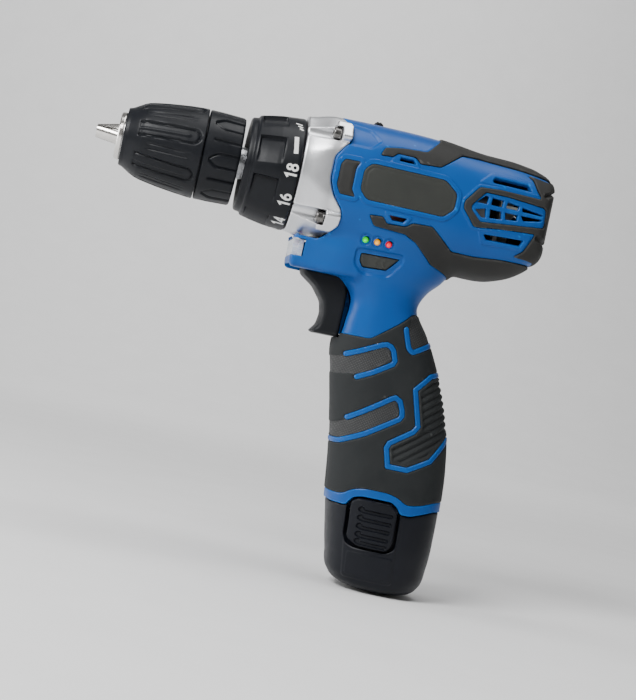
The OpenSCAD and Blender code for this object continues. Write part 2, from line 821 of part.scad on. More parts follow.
module chuck_body() {
    color([0.5, 0.51, 0.53]) difference() {
        along_x(0) rotate_extrude() polygon([[0, -90.6], [8.8, -90.6], [8.8, -88], [11, -88], [14, -80],
            [14, -73], [11.2, -72.6], [11.2, -63.4], [14.4, -63], [16.2, -62.6], [16.2, -44],
            [10, sleeve_rear_x], [0, sleeve_rear_x]]);
        disc_x(-110, -60, shank_r + 0.3);
        disc_x(-59, -20, 4.7);
        for (k = [0:2]) at_jaw(k) translate([0, 0, -5]) cylinder(h = 61, r = jaw_r + 0.08);
    }
}

module nose_ring() { color([0.75, 0.75, 0.76]) tube_x(nose_x, sleeve_front_x - 0.1, 10, 8.8); }

module chuck_nut() {
    color([0.45, 0.46, 0.48]) tube_x(-72.2, -63.8, 15.6, 11.25);
}

module sleeve_flutes(x0, x1, r, count, width) {
    for (i = [0:count - 1]) along_x(0) rotate(360 * i / count) translate([r, 0, x0]) {
        cylinder(h = x1 - x0, r = width, $fn = 24);
        sphere(r = width, $fn = 24);
    }
}

module front_sleeve() {
    color([0.13, 0.14, 0.16]) difference() {
        along_x(0) rotate_extrude() polygon([[11.4, sleeve_front_x], [12.4, sleeve_front_x], [13.2, -86.6],
            [15, -83.7], [17.5, -80.8], [18.5, -74], [19.3, -66], [sleeve_r, -59],
            [sleeve_r, sleeve_seam_x - 0.5], [16.6, sleeve_seam_x - 0.5], [16.6, -63], [15.6, -63.4],
            [15.6, -73], [14.4, -73.2], [14.4, -80.2]]);
        sleeve_flutes(-82, -57, sleeve_r + 1.1, flutes, 1.8);
    }
}

module rear_sleeve() {
    color([0.13, 0.14, 0.16]) difference() {
        tube_x(sleeve_seam_x, sleeve_rear_x - 0.3, sleeve_r - 0.2, 16.2);
        sleeve_flutes(-50, -30, sleeve_r + 0.9, flutes, 1.8);
    }
}

// ---- motor ----

module motor_can() {
    color([0.6, 0.6, 0.62]) {
        difference() {
            disc_x(can_front_x, can_rear_x, can_r);
            disc_x(can_front_x + 1.2, can_rear_x + 1, can_r - 1.2);
            disc_x(can_front_x - 4, can_front_x + 4, shaft_r + running_fit);
        }
        tube_x(casing_rear_x, can_front_x, 6.5, shaft_r + running_fit);
    }
}

module motor_magnets() {
    color([0.25, 0.25, 0.26]) difference() {
        tube_x(32, 60, can_r - 1.2, 11.6);
        for (s = [-1, 1]) translate([46, 0, axis_z + s * 17]) cube([40, 14, 20], center = true);
    }
}

module motor_end_bell() {
    color([0.12, 0.12, 0.13]) {
        difference() {
            tube_x(can_rear_x, can_rear_x + 2.4, can_r, shaft_r + running_fit);
            for (a = [45:90:315]) along_x(can_rear_x - 1) rotate(a) translate([10, 0, 0])
                cylinder(h = 5, r = 3);
        }
        for (s = [-1, 1]) translate([68, s * 9.3, axis_z]) cube([8.04, 9.4, 4], center = true);
    }
}

module motor_shaft() { color([0.75, 0.75, 0.77]) disc_x(stage_a_x, 88, shaft_r); }

module rotor_core() {
    color([0.4, 0.38, 0.36]) difference() {
        disc_x(33, 59, 11);
        disc_x(32, 60, shaft_r);
        for (i = [0:4]) along_x(32) rotate(72 * i) {
            translate([9.4, 0, 0]) cylinder(h = 28, r = 1.2, $fn = 24);
            translate([5.6, 0, 0]) cylinder(h = 28, r = 1.9, $fn = 24);
        }
    }
}

module commutator() {
    color([0.72, 0.42, 0.2]) {
        tube_x(62.5, 71, 4.3, shaft_r);
        tube_x(28.6, 32.9, 9.6, shaft_r);
        tube_x(59.1, 62.4, 9.6, shaft_r);
    }
}

module fan() {
    color([0.75, 0.75, 0.72]) {
        tube_x(fan_x, fan_x + 8, 4, shaft_r);
        for (i = [0:8]) along_x(fan_x + 1.2) rotate(40 * i) translate([3.8, -0.6, 0]) cube([12.4, 1.2, 6.6]);
        tube_x(fan_x, fan_x + 1.3, 16.4, 3.9);
    }
}

// ---- battery ----

// Children ride along the handle: +Z becomes the pack's sliding direction, from the base upward
module along_grip() { translate([57, 0, 3]) rotate([0, -grip_lean, 0]) children(); }

// Outline of the three cells with a wall round them
module stem_2d(grow) {
    hull() for (p = cell_places()) translate(p) circle(r = cell_r + grow, $fn = 48);
}

function cell_places() = let (h = cell_r * sqrt(3)) [[0, -cell_r, 0], [0, cell_r, 0], [-h + 2, 0, 0]];

// The stem round the cells, with a narrower head above them that carries the contacts
module battery_stem(z0, grow) {
    along_grip() translate([stem_shift, 0, 0]) {
        translate([0, 0, z0]) linear_extrude(stem_wide_z + grow - z0) stem_2d(stem_wall + grow);
        translate([0, 0, z0]) linear_extrude(stem_top_z + 3 * grow - z0) stem_2d(grow - 3);
    }
}

module battery_case() {
    color([0.11, 0.12, 0.14]) difference() {
        union() {
            difference() {
                upright_solid(case_rows, 0);
                side_prism(-40, 40) foot_outline(foot_gap);
            }
            battery_stem(20, 0);
        }
        along_grip() translate([stem_shift, 0, cells_z - 0.2]) linear_extrude(cell_l + 1) stem_2d(0.1);
        for (s = [-1, 1]) latch_room(s);
        // slots for the contact blades, down to the cells
        for (s = [-1, 0, 1]) along_grip() translate([-3, s * 5 - 0.6, cell_l + 1]) cube([6, 1.2, 20]);
    }
}

module battery_cells() {
    color([0.2, 0.5, 0.35]) along_grip() translate([stem_shift, 0, cells_z]) for (p = cell_places())
        translate(p) cylinder(h = cell_l, r = cell_r - 0.1);
}

module terminal_block() {
    color([0.1, 0.1, 0.11]) along_grip() translate([4, 0, 86.5]) cube([20, 18, 5], center = true);
}

module latch_2d(grow) {
    offset(delta = grow) polygon([[38.5, 37.5], [41, 39.4], [55, 39.4], [58.5, 36.5], [59, 23], [57, 19],
        [44.5, 19], [39.5, 22]]);
}

module latch_room(s) {
    side_prism(s > 0 ? latch_room_y : -30, s > 0 ? 30 : -latch_room_y) latch_2d(free_gap);
    latch_pin(s, 41.4, 60.4, running_fit);
}

// Round pin on which a latch tilts, let into the case at both ends
module latch_pin(s, x0, x1, grow) {
    translate([x0, s * latch_pin_y, latch_pin_z]) rotate([0, 90, 0])
        cylinder(h = x1 - x0, r = latch_pin_r + grow);
}

module latch(s) {
    color([0.1, 0.11, 0.13]) difference() {
        union() {
            intersection() {
                side_prism(s > 0 ? latch_in_y : -25, s > 0 ? 25 : -latch_in_y) latch_2d(0);
                upright_solid([for (r = case_rows) if (r[0] > 5) r], 0.5);
            }
            latch_pin(s, 41.6, 60.2, 0);
        }
        for (z = [23.6:3.6:34.6]) translate([49, s * (pack_half_w + 0.9), z]) rotate([0, 90, 0])
            cylinder(h = 14, r = 0.8, center = true, $fn = 16);
    }
}

module latch_left() { latch(-1); }

module latch_right() { latch(1); }

shell_left();
shell_right();
band_left();
band_right();
grip_left();
grip_right();
rear_bumper();
label_plates();
side_pads();
gearbox_head();
head_screws();
body_screws();
work_light_lens();
status_board();
status_led_green();
status_led_amber();
status_led_red();
spindle_bearings();
gear_casing();
ring_gear_front();
clutch_spring();
clutch_washer();
clutch_balls();
motor_can();
motor_magnets();
motor_end_bell();
switch_body();
terminal_block();
trigger_spring();
spindle();
chuck_body();
nose_ring();
rear_sleeve();
front_sleeve();
chuck_nut();
jaw_1();
jaw_2();
jaw_3();
torque_collar();
speed_switch();
shift_yoke();
ring_gear_rear();
carrier_sun();
planet_a1();
planet_a2();
planet_a3();
planet_b1();
planet_b2();
planet_b3();
motor_shaft();
pinion();
rotor_core();
commutator();
fan();
trigger();
direction_button();
battery_case();
battery_cells();
latch_left();
latch_right();
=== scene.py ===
import math

import bmesh
import bpy
import numpy as np
from mathutils import Matrix, Vector


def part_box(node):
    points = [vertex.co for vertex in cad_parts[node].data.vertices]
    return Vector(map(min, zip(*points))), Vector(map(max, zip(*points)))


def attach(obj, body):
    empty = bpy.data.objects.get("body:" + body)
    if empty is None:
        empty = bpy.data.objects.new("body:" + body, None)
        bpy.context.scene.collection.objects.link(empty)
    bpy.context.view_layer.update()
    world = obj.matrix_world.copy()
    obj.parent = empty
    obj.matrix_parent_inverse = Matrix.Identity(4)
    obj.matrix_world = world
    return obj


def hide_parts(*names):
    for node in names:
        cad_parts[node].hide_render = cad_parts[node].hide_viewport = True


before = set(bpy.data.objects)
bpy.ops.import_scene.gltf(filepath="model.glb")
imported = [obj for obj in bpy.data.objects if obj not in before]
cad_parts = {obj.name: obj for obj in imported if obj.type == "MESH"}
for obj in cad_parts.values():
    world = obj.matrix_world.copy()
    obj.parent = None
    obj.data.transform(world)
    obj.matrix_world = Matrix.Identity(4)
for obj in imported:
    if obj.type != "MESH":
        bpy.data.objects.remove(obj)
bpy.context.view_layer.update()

MM = 0.001               # all shapes below are worked out in millimetres


# ---------------- places from the frame

def box_mm(node):
    """Lowest and highest corner of a CAD node, in millimetres."""
    low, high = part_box(node)
    return np.array(low) / MM, np.array(high) / MM


AXIS_Z = sum(corner[2] for corner in box_mm("spindle")) / 2
TAIL_X = box_mm("rear_bumper")[1][0]
TAIL_BULGE = 0.009       # how fast the tail curves forward towards its sides

# Motor housing: X, half width, height above and depth below the spindle axis
BODY_ROWS = np.array([
    [-2, 26.5, 28.3, 26.5], [16, 28.2, 28.6, 27.3], [48, 28.3, 28, 27.5], [64, 27.8, 26.2, 27],
    [82, 27, 25.4, 25.6], [90, 26, 24, 22], [95.5, 24.4, 21.5, 17.2], [98.5, 22.8, 18, 13],
    [TAIL_X, 20.5, 12.5, 8]])
# Handle: height, front edge, rear edge, half width
HANDLE_ROWS = np.array([
    [35, 30.1, 79.6, 22.1], [58, 27.2, 78, 21.4], [76, 23.9, 74.6, 20.5], [90, 20.9, 69.8, 19.6],
    [102, 18.6, 64, 18.6], [112, 19.6, 58.6, 18], [124, 19.3, 51.7, 18], [131, 13, 54.5, 18.8],
    [138, 9, 60.5, 20.6], [150, 6, 61, 24]])
# Battery case: height, front edge, rear edge, half width
CASE_ROWS = np.array([
    [0, 43.5, 71.5, 17], [1.4, 40, 74.4, 18.7], [5.5, 36.8, 77.4, 20.3], [15, 34.2, 79.2, 21.5],
    [30, 31.2, 79.6, 22.1], [41, 29.1, 79.4, 22]])


# ---------------- outlines in the side view (x, z)

CORNER_STEPS = 4         # straight pieces in a rounded corner


def rounded(points, radius):
    """The closed outline with its corners rounded."""
    pts = [np.array(p, float) for p in points]
    out = []
    for i, p in enumerate(pts):
        a, b = pts[i - 1] - p, pts[(i + 1) % len(pts)] - p
        la, lb = np.linalg.norm(a), np.linalg.norm(b)
        cut = min(radius, 0.45 * la, 0.45 * lb)
        start, end = p + a / la * cut, p + b / lb * cut
        for k in range(CORNER_STEPS + 1):
            t = k / CORNER_STEPS
            out.append((1 - t) ** 2 * start + 2 * t * (1 - t) * p + t ** 2 * end)
    return np.array(out)


def segment_distance(x, z, p, q):
    """Distance to the straight line from p to q."""
    dx, dz = q[0] - p[0], q[1] - p[1]
    t = np.clip(((x - p[0]) * dx + (z - p[1]) * dz) / (dx * dx + dz * dz + 1e-12), 0, 1)
    return np.hypot(x - p[0] - t * dx, z - p[1] - t * dz)


def inside_distance(points):
    """Signed distance to a closed outline, negative inside."""
    pts = np.asarray(points, float)

    def field(x, z):
        dist = np.full(np.shape(x), 1e9)
        odd = np.zeros(np.shape(x), bool)
        for i in range(len(pts)):
            p, q = pts[i - 1], pts[i]
            dist = np.minimum(dist, segment_distance(x, z, p, q))
            if p[1] != q[1]:
                crosses = ((p[1] > z) != (q[1] > z)) & (x < (q[0] - p[0]) * (z - p[1]) / (q[1] - p[1]) + p[0])
                odd ^= crosses
        return np.where(odd, -dist, dist)
    return field


def area(points, radius):
    """Signed distance to a closed outline with rounded corners."""
    return inside_distance(rounded(points, radius))


def line_distance(points, width):
    """Signed distance to a thick open line."""
    def field(x, z):
        return np.min([segment_distance(x, z, points[i], points[i + 1])
                       for i in range(len(points) - 1)], axis=0) - width / 2
    return field


def union(*fields):
    """What is inside any of the outlines."""
    return lambda x, z: np.min([f(x, z) for f in fields], axis=0)


def minus(a, b):
    """What is inside a and outside b."""
    return lambda x, z: np.maximum(a(x, z), -b(x, z))


def smooth_min(a, b, k):
    h = np.clip(0.5 + 0.5 * (b - a) / k, 0, 1)
    return b * (1 - h) + a * h - k * h * (1 - h)


def smooth_max(a, b, k):
    return -smooth_min(-a, -b, k)


def smooth_step(t):
    t = np.clip(t, 0, 1)
    return t * t * (3 - 2 * t)


def smooth_cut(a, b, k):
    """What is inside a and outside b, with a rounded edge of about k."""
    return smooth_max(a, -b, k)


BUMPER_X = 96.2          # where the rear cap meets the shells
HEAD_EDGE = area([
    [-40, 143.4], [1, 143.4], [6, 147.6], [7.7, 149.6], [7.7, 156], [2.7, 162.2], [0.2, 168.5], [0.2, 178.5],
    [3.2, 183], [5.7, 186], [5.7, 193.4], [-0.3, 199], [-0.3, 220], [-40, 220]], 1.6)
UPPER_BAND = area([
    [18.6, 182.8], [24, 183.2], [25.5, 185], [34, 185], [36, 182.8], [45, 183.5], [53.8, 191], [62, 191.4],
    [82, 190.7], [91.5, 189.9], [BUMPER_X, 189.3], [120, 189], [120, 215], [48, 215], [46, 199], [43.6, 194.6],
    [38.2, 188.6], [27.6, 187.8], [20.1, 186.4]], 0.9)
LOWER_BAND = area([
    [19.2, 157.2], [25, 157.6], [27.4, 155], [35.4, 155.5], [38, 157.6], [46.6, 158], [57.4, 149.8],
    [67.5, 149.8], [79, 151], [BUMPER_X, 151.8], [120, 152], [120, 118], [66, 133], [62, 139.4], [50.4, 142.8],
    [41.4, 149.9], [36, 152.5], [22, 153.2]], 0.9)
RING_OUT = area([
    [57.7, 171.8], [63.0, 179.0], [72, 179.8], [91, 179.9], [120, 180], [120, 164.6], [90, 164.7], [75, 163.4],
    [63.8, 161.9], [57.7, 168.8]], 0.9)
RING_IN = area([
    [61.0, 171], [66.1, 177.5], [75.6, 177.6], [92.6, 176.6], [94.0, 175.4], [94.6, 169.4], [94.0, 168.0],
    [84.9, 166.8], [66, 164.6], [61.0, 169.2]], 0.8)
UPPER_PAD = area([
    [83.8, 189.2], [86.5, 187.4], [88.2, 183.8], [90.2, 181.2], [90.2, 178.6], [120, 178.6], [120, 188.2],
    [92, 188.4]], 0.7)
LOWER_PAD = area([
    [90.6, 165.6], [90.4, 163.2], [87.6, 156.6], [84.2, 153.6], [92, 153.4], [120, 153.2], [120, 165.6]], 0.7)
LABEL = area([
    [16, 178.5], [48, 178.5], [54, 173.8], [54, 167.2], [50, 163], [16.5, 163], [13, 166.5], [13, 175.2]], 1.6)
SIDE_PAD = area([
    [3, 175.5], [4.5, 178], [11, 178], [9.6, 175], [9.6, 166], [11.5, 163], [5, 163], [3, 166.5]], 0.9)
GRIP = area([
    [10, 105.5], [20, 106.6], [32, 106.5], [44, 116], [49, 121], [100, 118], [100, 45.4], [74.5, 43.5],
    [67, 41], [61.5, 40.2], [57, 42.8], [52.5, 43.8], [42.5, 43.8], [38, 42.6], [34, 39.4], [10, 40]], 2.0)
RIDGE_WIDTH = 2.3        # blue lines round the grip areas
REAR_LINE = [[67, 98], [61.5, 96], [55.4, 89.2], [59.6, 74], [58, 71.4], [48.8, 64.8], [48, 62.5], [50, 55],
             [58.5, 55], [68, 60.5], [75, 71]]
THUMB_LINE = rounded([[46.2, 114.5], [46.5, 113], [49, 106], [51, 104.4], [58, 108.5], [66, 113]], 1)
RIDGES = union(*[line_distance(line, RIDGE_WIDTH) for line in (
    THUMB_LINE[CORNER_STEPS + 1:],
    [[24, 98.4], [28, 100.2], [37.5, 105], [39.5, 105.6], [41.4, 105.0], [42.8, 103.5], [44.2, 99.5],
     [43.6, 97.8], [36, 92.8], [30, 89.6]],
    [[24, 60.6], [29, 61.6], [38, 66.6], [50.8, 75.4], [51.8, 77], [51.4, 79.4], [49.8, 83], [47.6, 84.2],
     [46, 83.4], [35.5, 75.8], [30, 72]],
    REAR_LINE)])
REAR_GRIP = inside_distance(REAR_LINE + [[90, 80], [90, 98]])
MESH_AREAS = union(*[inside_distance(outline) for outline in (
    [[10, 96], [28, 100], [37.5, 105], [41, 105.2], [44.2, 99.5], [36, 92.8], [30, 89.6], [10, 86]],
    [[10, 60.6], [29, 61.6], [38, 66.6], [50.8, 75.4], [51.4, 79.4], [47.6, 84.2], [35.5, 75.8], [10, 62]],
    [[46.5, 130], [46.5, 113], [49, 106], [51, 104.4], [58, 108.5], [70, 115]])])
VENTS = union(*[area(outline, 0.5) for outline in (
    [[26.9, 182.0], [27.2, 183.8], [32.8, 183.9], [34.2, 182.0]],
    [[27.4, 158.8], [29.1, 156.8], [34.0, 156.9], [35.2, 158.9]],
    [[68.0, 182.9], [69.1, 184.8], [84.2, 184.8], [86.0, 182.2], [69, 182.1]],
    [[68.6, 159.9], [86.4, 161.0], [85.4, 158.2], [70.2, 157.7]])])
# Two rows of holes on either side of a bar, tapering to a point at both ends
GRILLE = union(*[area(outline, 0.35) for outline in (
    [[62.8, 172.5], [66.3, 176.2], [67.8, 176.1], [67.5, 172.6]],
    [[69.1, 172.7], [69.4, 175.9], [74.4, 175.8], [74.2, 172.7]],
    [[75.8, 172.8], [76.3, 175.6], [81.7, 175.0], [81.2, 172.8]],
    [[83.2, 172.8], [83.0, 174.7], [92.9, 173.5], [92.5, 172.9]],
    [[62.8, 169.4], [67.3, 170.8], [68.0, 166.7], [66.0, 166.6]],
    [[69.1, 170.8], [74.3, 170.9], [74.9, 167.6], [69.6, 167.0]],
    [[75.8, 170.9], [81.5, 171.0], [81.8, 168.5], [76.5, 167.9]],
    [[83.0, 171.1], [92.9, 171.6], [92.4, 170.7], [84.4, 169.0]])])
VENT_RIM = union(
    area([[23.2, 180.4], [26, 184.9], [33.4, 184.9], [36.4, 180.4]], 1),
    area([[25, 159.8], [28, 155.6], [34.6, 155.6], [37.4, 159.8]], 1),
    area([[62.6, 181.3], [67.5, 186.2], [86.0, 186.8], [89.4, 180.9]], 0.8),
    area([[65.6, 161.8], [89.4, 163.2], [86.6, 156.6], [68.4, 155.6]], 0.8))
BUTTON_HOLE = area([[19.9, 141.3], [37.1, 141.8], [32.2, 135.9], [22, 135.3], [19.9, 138]], 0.8)
BUTTON_RIM = area([[17.6, 143.4], [38, 144], [38.8, 140.6], [33.8, 133.2], [21.6, 132.8], [17.8, 136.4]], 2)
FOOT_EDGE = area([
    [-20, 38], [27, 37], [31, 35.5], [36.5, 35.5], [37.5, 37.5], [39, 39.5], [42.5, 40.5], [55, 40.5],
    [58, 38.5], [59.5, 36], [64, 36], [74.5, 39.5], [100, 40.4], [100, -20], [-20, -20]], 1.2)
FRONT_STEP = area([
    [-20, 184.5], [14.6, 184.5], [18.6, 188.6], [14, 193], [6, 194], [-20, 200]], 1.2)
LED_PLACES = [[20.5, 147], [25.5, 147], [30.5, 147]]
LED_HOLE_R = 1.55
SCREW_WELL_R = 2.7
SCREW_PLACES = [[30, 191], [88, 180.6], [88, 160], [58, 151.6], [15, 139], [45.6, 128], [68.4, 70]]
FOOT_LOW = 35.0          # lowest point of the shells


# ---------------- solids as fields (negative inside)

def curve_through(t, rows, column):
    """Smooth interpolation of one column of a table of rows."""
    xs, ys = rows[:, 0], rows[:, column]
    slopes = np.gradient(ys, xs)
    t = np.clip(t, xs[0], xs[-1])
    i = np.clip(np.searchsorted(xs, t, side="right") - 1, 0, len(xs) - 2)
    h = xs[i + 1] - xs[i]
    u = (t - xs[i]) / h
    return ((1 + 2 * u) * (1 - u) ** 2 * ys[i] + u * (1 - u) ** 2 * h * slopes[i]
            + u * u * (3 - 2 * u) * ys[i + 1] + u * u * (u - 1) * h * slopes[i + 1])


def squircle(a, b, ra, rb, n):
    """Distance-like field of a rounded-square section."""
    r = (np.abs(a / ra) ** n + np.abs(b / rb) ** n) ** (1 / n)
    return (r - 1) * np.minimum(ra, rb)


def body_field(x, y, z):
    """The motor housing, a rounded barrel with a domed tail."""
    dz = z - AXIS_Z
    half = curve_through(x, BODY_ROWS, 1)
    tall = np.where(dz > 0, curve_through(x, BODY_ROWS, 2), curve_through(x, BODY_ROWS, 3))
    section = squircle(y, dz, half, tall, 2.7)
    return smooth_max(section, x + TAIL_BULGE * y * y - TAIL_X + 0.4, 2.0)


def upright_field(x, y, z, rows):
    """A column whose section at each height is in a table of rows."""
    front, rear = curve_through(z, rows, 1), curve_through(z, rows, 2)
    return squircle(x - (front + rear) / 2, y, (rear - front) / 2, curve_through(z, rows, 3), 2.5)


def lip_field(x, y, z):
    """The block under the gearbox head that carries the work light."""
    half = 13.2 + 5.2 * smooth_step((x + 8) / 24) + 2.4 * smooth_step((z - 131) / 14)
    lift = 2.2 * smooth_step((x - 4) / 16)
    section = smooth_max(np.abs(y) - half, np.abs(z - 139.6 + lift / 2) - 9.4 + lift / 2, 3.2)
    return smooth_max(section, np.maximum(-8.4 - x, x - 22), 2.4)


def housing_field(x, y, z):
    """Body, handle and lip in one."""
    handle = smooth_max(upright_field(x, y, z, HANDLE_ROWS), z - 156, 3)
    solid = smooth_min(body_field(x, y, z), handle, 5)
    return smooth_min(solid, lip_field(x, y, z), 2.5)


# ---------------- meshing of fields

def surface_net(field, low, high, step):
    """Vertices and quads of the zero surface of a field, by naive surface nets."""
    low, high = np.array(low, float), np.array(high, float)
    axes = [np.arange(low[k], high[k] + step, step) for k in range(3)]
    values = field(*np.meshgrid(*axes, indexing="ij"))
    inside = values < 0
    n = [len(a) - 1 for a in axes]
    total = np.zeros(n + [3])
    count = np.zeros(n)
    corners = [(i, j, k) for i in (0, 1) for j in (0, 1) for k in (0, 1)]

    def corner(array, c):
        return array[c[0]:c[0] + n[0], c[1]:c[1] + n[1], c[2]:c[2] + n[2]]

    for a in corners:
        for k in range(3):
            if a[k]:
                continue
            b = tuple(1 if m == k else a[m] for m in range(3))
            crosses = corner(inside, a) != corner(inside, b)
            va, vb = corner(values, a)[crosses], corner(values, b)[crosses]
            point = np.tile(np.array(a, float), (len(va), 1))
            point[:, k] += va / (va - vb)
            total[crosses] += point
            count[crosses] += 1
    active = count > 0
    index = -np.ones(n, int)
    index[active] = np.arange(active.sum())
    cells = np.argwhere(active)
    verts = low + (cells + total[active] / count[active][:, None]) * step
    quads = []
    for k in range(3):
        u, v = (k + 1) % 3, (k + 2) % 3
        ahead = [slice(None)] * 3
        behind = [slice(None)] * 3
        ahead[k], behind[k] = slice(1, None), slice(None, -1)
        for m in (u, v):
            ahead[m] = behind[m] = slice(1, -1)
        changes = inside[tuple(behind)] != inside[tuple(ahead)]
        places = np.argwhere(changes)
        places[:, u] += 1
        places[:, v] += 1
        ring = []
        for du, dv in ((-1, -1), (0, -1), (0, 0), (-1, 0)):
            cell = places.copy()
            cell[:, u] += du
            cell[:, v] += dv
            ring.append(index[cell[:, 0], cell[:, 1], cell[:, 2]])
        ring = np.array(ring).T
        outward = inside[tuple(behind)][changes]
        ring[~outward] = ring[~outward][:, ::-1]
        quads.append(ring)
    quads = np.concatenate(quads)
    return verts, quads[(quads >= 0).all(axis=1)]


PROBE = 0.05             # half the span over which a slope is taken
EDGE_BASE = 10_000_000   # more than any number of vertices; makes one number of an edge's two


def gradient(field, p):
    """Slope of a field at each point."""
    return np.stack([(field(*(p + s).T) - field(*(p - s).T)) / (2 * PROBE) for s in np.eye(3) * PROBE], axis=1)


def normals(field, p):
    """Slope at each point, at unit length."""
    g = gradient(field, p)
    return g / np.linalg.norm(g, axis=1)[:, None]


def pick(table, rows):
    """The given columns of a table of corners, one set of faces after another."""
    return np.concatenate([table[:, row] for row in rows])


def onto_surface(field, p, rounds):
    """Points moved down the slope to the field's surface."""
    for _ in range(rounds):
        g = gradient(field, p)
        p = p - g * (field(*p.T) / np.maximum((g * g).sum(axis=1), 1e-9))[:, None]
    return p


def relax(verts, faces, field, rounds):
    """Evens out the mesh while it stays on the field's surface."""
    a, b = faces.T.ravel(), np.roll(faces, -1, axis=1).T.ravel()
    ends, others = np.concatenate([a, b]), np.concatenate([b, a])
    degree = np.bincount(ends, minlength=len(verts))[:, None]
    for _ in range(rounds):
        mean = np.stack([np.bincount(ends, verts[others, c], len(verts)) for c in range(3)], axis=1) / degree
        verts = onto_surface(field, 0.5 * verts + 0.5 * mean, 1)
    return onto_surface(field, verts, 2)


def edge_table(tris):
    """The edges of triangles, each once, and the three edge numbers of every triangle."""
    pairs = np.stack([tris, np.roll(tris, -1, axis=1)], -1).reshape(-1, 2)
    pairs.sort(axis=1)
    keys, which = np.unique(pairs[:, 0].astype(np.int64) * EDGE_BASE + pairs[:, 1], return_inverse=True)
    return np.stack([keys // EDGE_BASE, keys % EDGE_BASE], 1), which.reshape(-1, 3)


def refine(verts, tris):
    """Splits every triangle into four."""
    edges, te = edge_table(tris)
    six = np.hstack([tris, len(verts) + te])
    verts = np.concatenate([verts, verts[edges].mean(axis=1)])
    return verts, pick(six, ([0, 3, 5], [1, 4, 3], [2, 5, 4], [3, 4, 5]))


SNAP = 0.32              # share of an edge's length over which a vertex moves onto a cut
ON_LINE = 0.004          # nearer than this a vertex counts as on the cut


class Skin:
    """A triangle mesh on a field's surface that can be cut exactly along other fields."""

    def __init__(self, field, low, high, step, finer=0):
        self.field = field
        verts, quads = surface_net(field, low, high, step)
        verts = relax(verts, quads, field, 4)
        tris = pick(quads, ([0, 1, 2], [0, 2, 3]))
        for _ in range(finer):
            verts, tris = refine(verts, tris)
        self.verts = onto_surface(field, verts, 2)
        self.tris = tris
        self.fixed = np.zeros(len(verts), bool)

    def cut(self, mark, levels):
        """Adds edges along mark(x, y, z) == level; nearby free vertices are moved onto them."""
        values = mark(*self.verts.T)
        for level in levels:
            values = self._cut_at(mark, values, level)

    def _cut_at(self, mark, values, level):
        value = values - level
        above = (value > 0)[self.tris]
        edges, _ = edge_table(self.tris[above.any(axis=1) & ~above.all(axis=1)])
        crossing = (value[edges[:, 0]] > 0) != (value[edges[:, 1]] > 0)
        if not crossing.any():
            return values
        size = np.linalg.norm(self.verts[edges[:, 0]] - self.verts[edges[:, 1]], axis=1).mean()
        touched = np.zeros(len(self.verts), bool)
        touched[edges[crossing].ravel()] = True
        near = np.flatnonzero(touched & ~self.fixed & (np.abs(value) < SNAP * size))
        if len(near):
            moved, good = self._slide_onto(mark, level, self.verts[near], size)
            where = near[good]
            self.verts[where] = moved[good]
            value[where] = 0
        value[np.abs(value) < ON_LINE] = 0
        self.fixed |= value == 0
        added = self._split(value)
        return np.concatenate([value + level, np.full(added, level)])

    def _slide_onto(self, mark, level, start, size):
        """Points moved along the skin to where the mark has this level, and which of them got there."""
        p = start
        for _ in range(3):
            n = normals(self.field, p)
            g = gradient(mark, p)
            g -= n * (g * n).sum(axis=1)[:, None]
            steep = np.maximum((g * g).sum(axis=1), 0.05)
            p = onto_surface(self.field, p - g * ((mark(*p.T) - level) / steep)[:, None], 1)
        good = (np.linalg.norm(p - start, axis=1) < size) & (np.abs(mark(*p.T) - level) < 0.02)
        return p, good

    def _split(self, value):
        """Splits the triangles that the value's zero line crosses; returns how many vertices that added."""
        corners = value[self.tris]
        crossed = (corners.min(axis=1) < 0) & (corners.max(axis=1) > 0)
        tris = self.tris[crossed]
        edges, te = edge_table(tris)
        va, vb = value[edges[:, 0]], value[edges[:, 1]]
        crossing = va * vb < 0
        new = -np.ones(len(edges), int)
        new[crossing] = len(self.verts) + np.arange(crossing.sum())
        pa, pb = self.verts[edges[crossing, 0]], self.verts[edges[crossing, 1]]
        t = (va[crossing] / (va[crossing] - vb[crossing]))[:, None]
        points = pa + (pb - pa) * t
        self.verts = np.concatenate([self.verts, onto_surface(self.field, points, 1)])
        self.fixed = np.concatenate([self.fixed, np.ones(crossing.sum(), bool)])
        split = new[te]
        count = (split >= 0).sum(axis=1)
        out = [self.tris[~crossed]]
        for turn in range(3):
            six = np.hstack([np.roll(tris, -turn, axis=1), np.roll(split, -turn, axis=1)])
            one = (count == 1) & (six[:, 3] >= 0)
            two = (count == 2) & (six[:, 3] >= 0) & (six[:, 5] >= 0)
            out += [pick(six[one], ([0, 3, 2], [3, 1, 2])), pick(six[two], ([0, 3, 5], [3, 1, 2], [3, 2, 5]))]
        self.tris = np.concatenate(out)
        return int(crossing.sum())

    def centres(self):
        return self.verts[self.tris].mean(axis=1)

    def keep(self, mask):
        self.tris = self.tris[mask]


def side_mark(field):
    """A side-view outline as a field in space."""
    return lambda x, y, z: field(x, z)


def rim_loops(tris):
    """Directed boundary edges of a patch."""
    edges = pick(tris, ([0, 1], [1, 2], [2, 0]))
    key = edges[:, 0].astype(np.int64) * EDGE_BASE + edges[:, 1]
    back = edges[:, 1].astype(np.int64) * EDGE_BASE + edges[:, 0]
    return edges[~np.isin(key, back)]


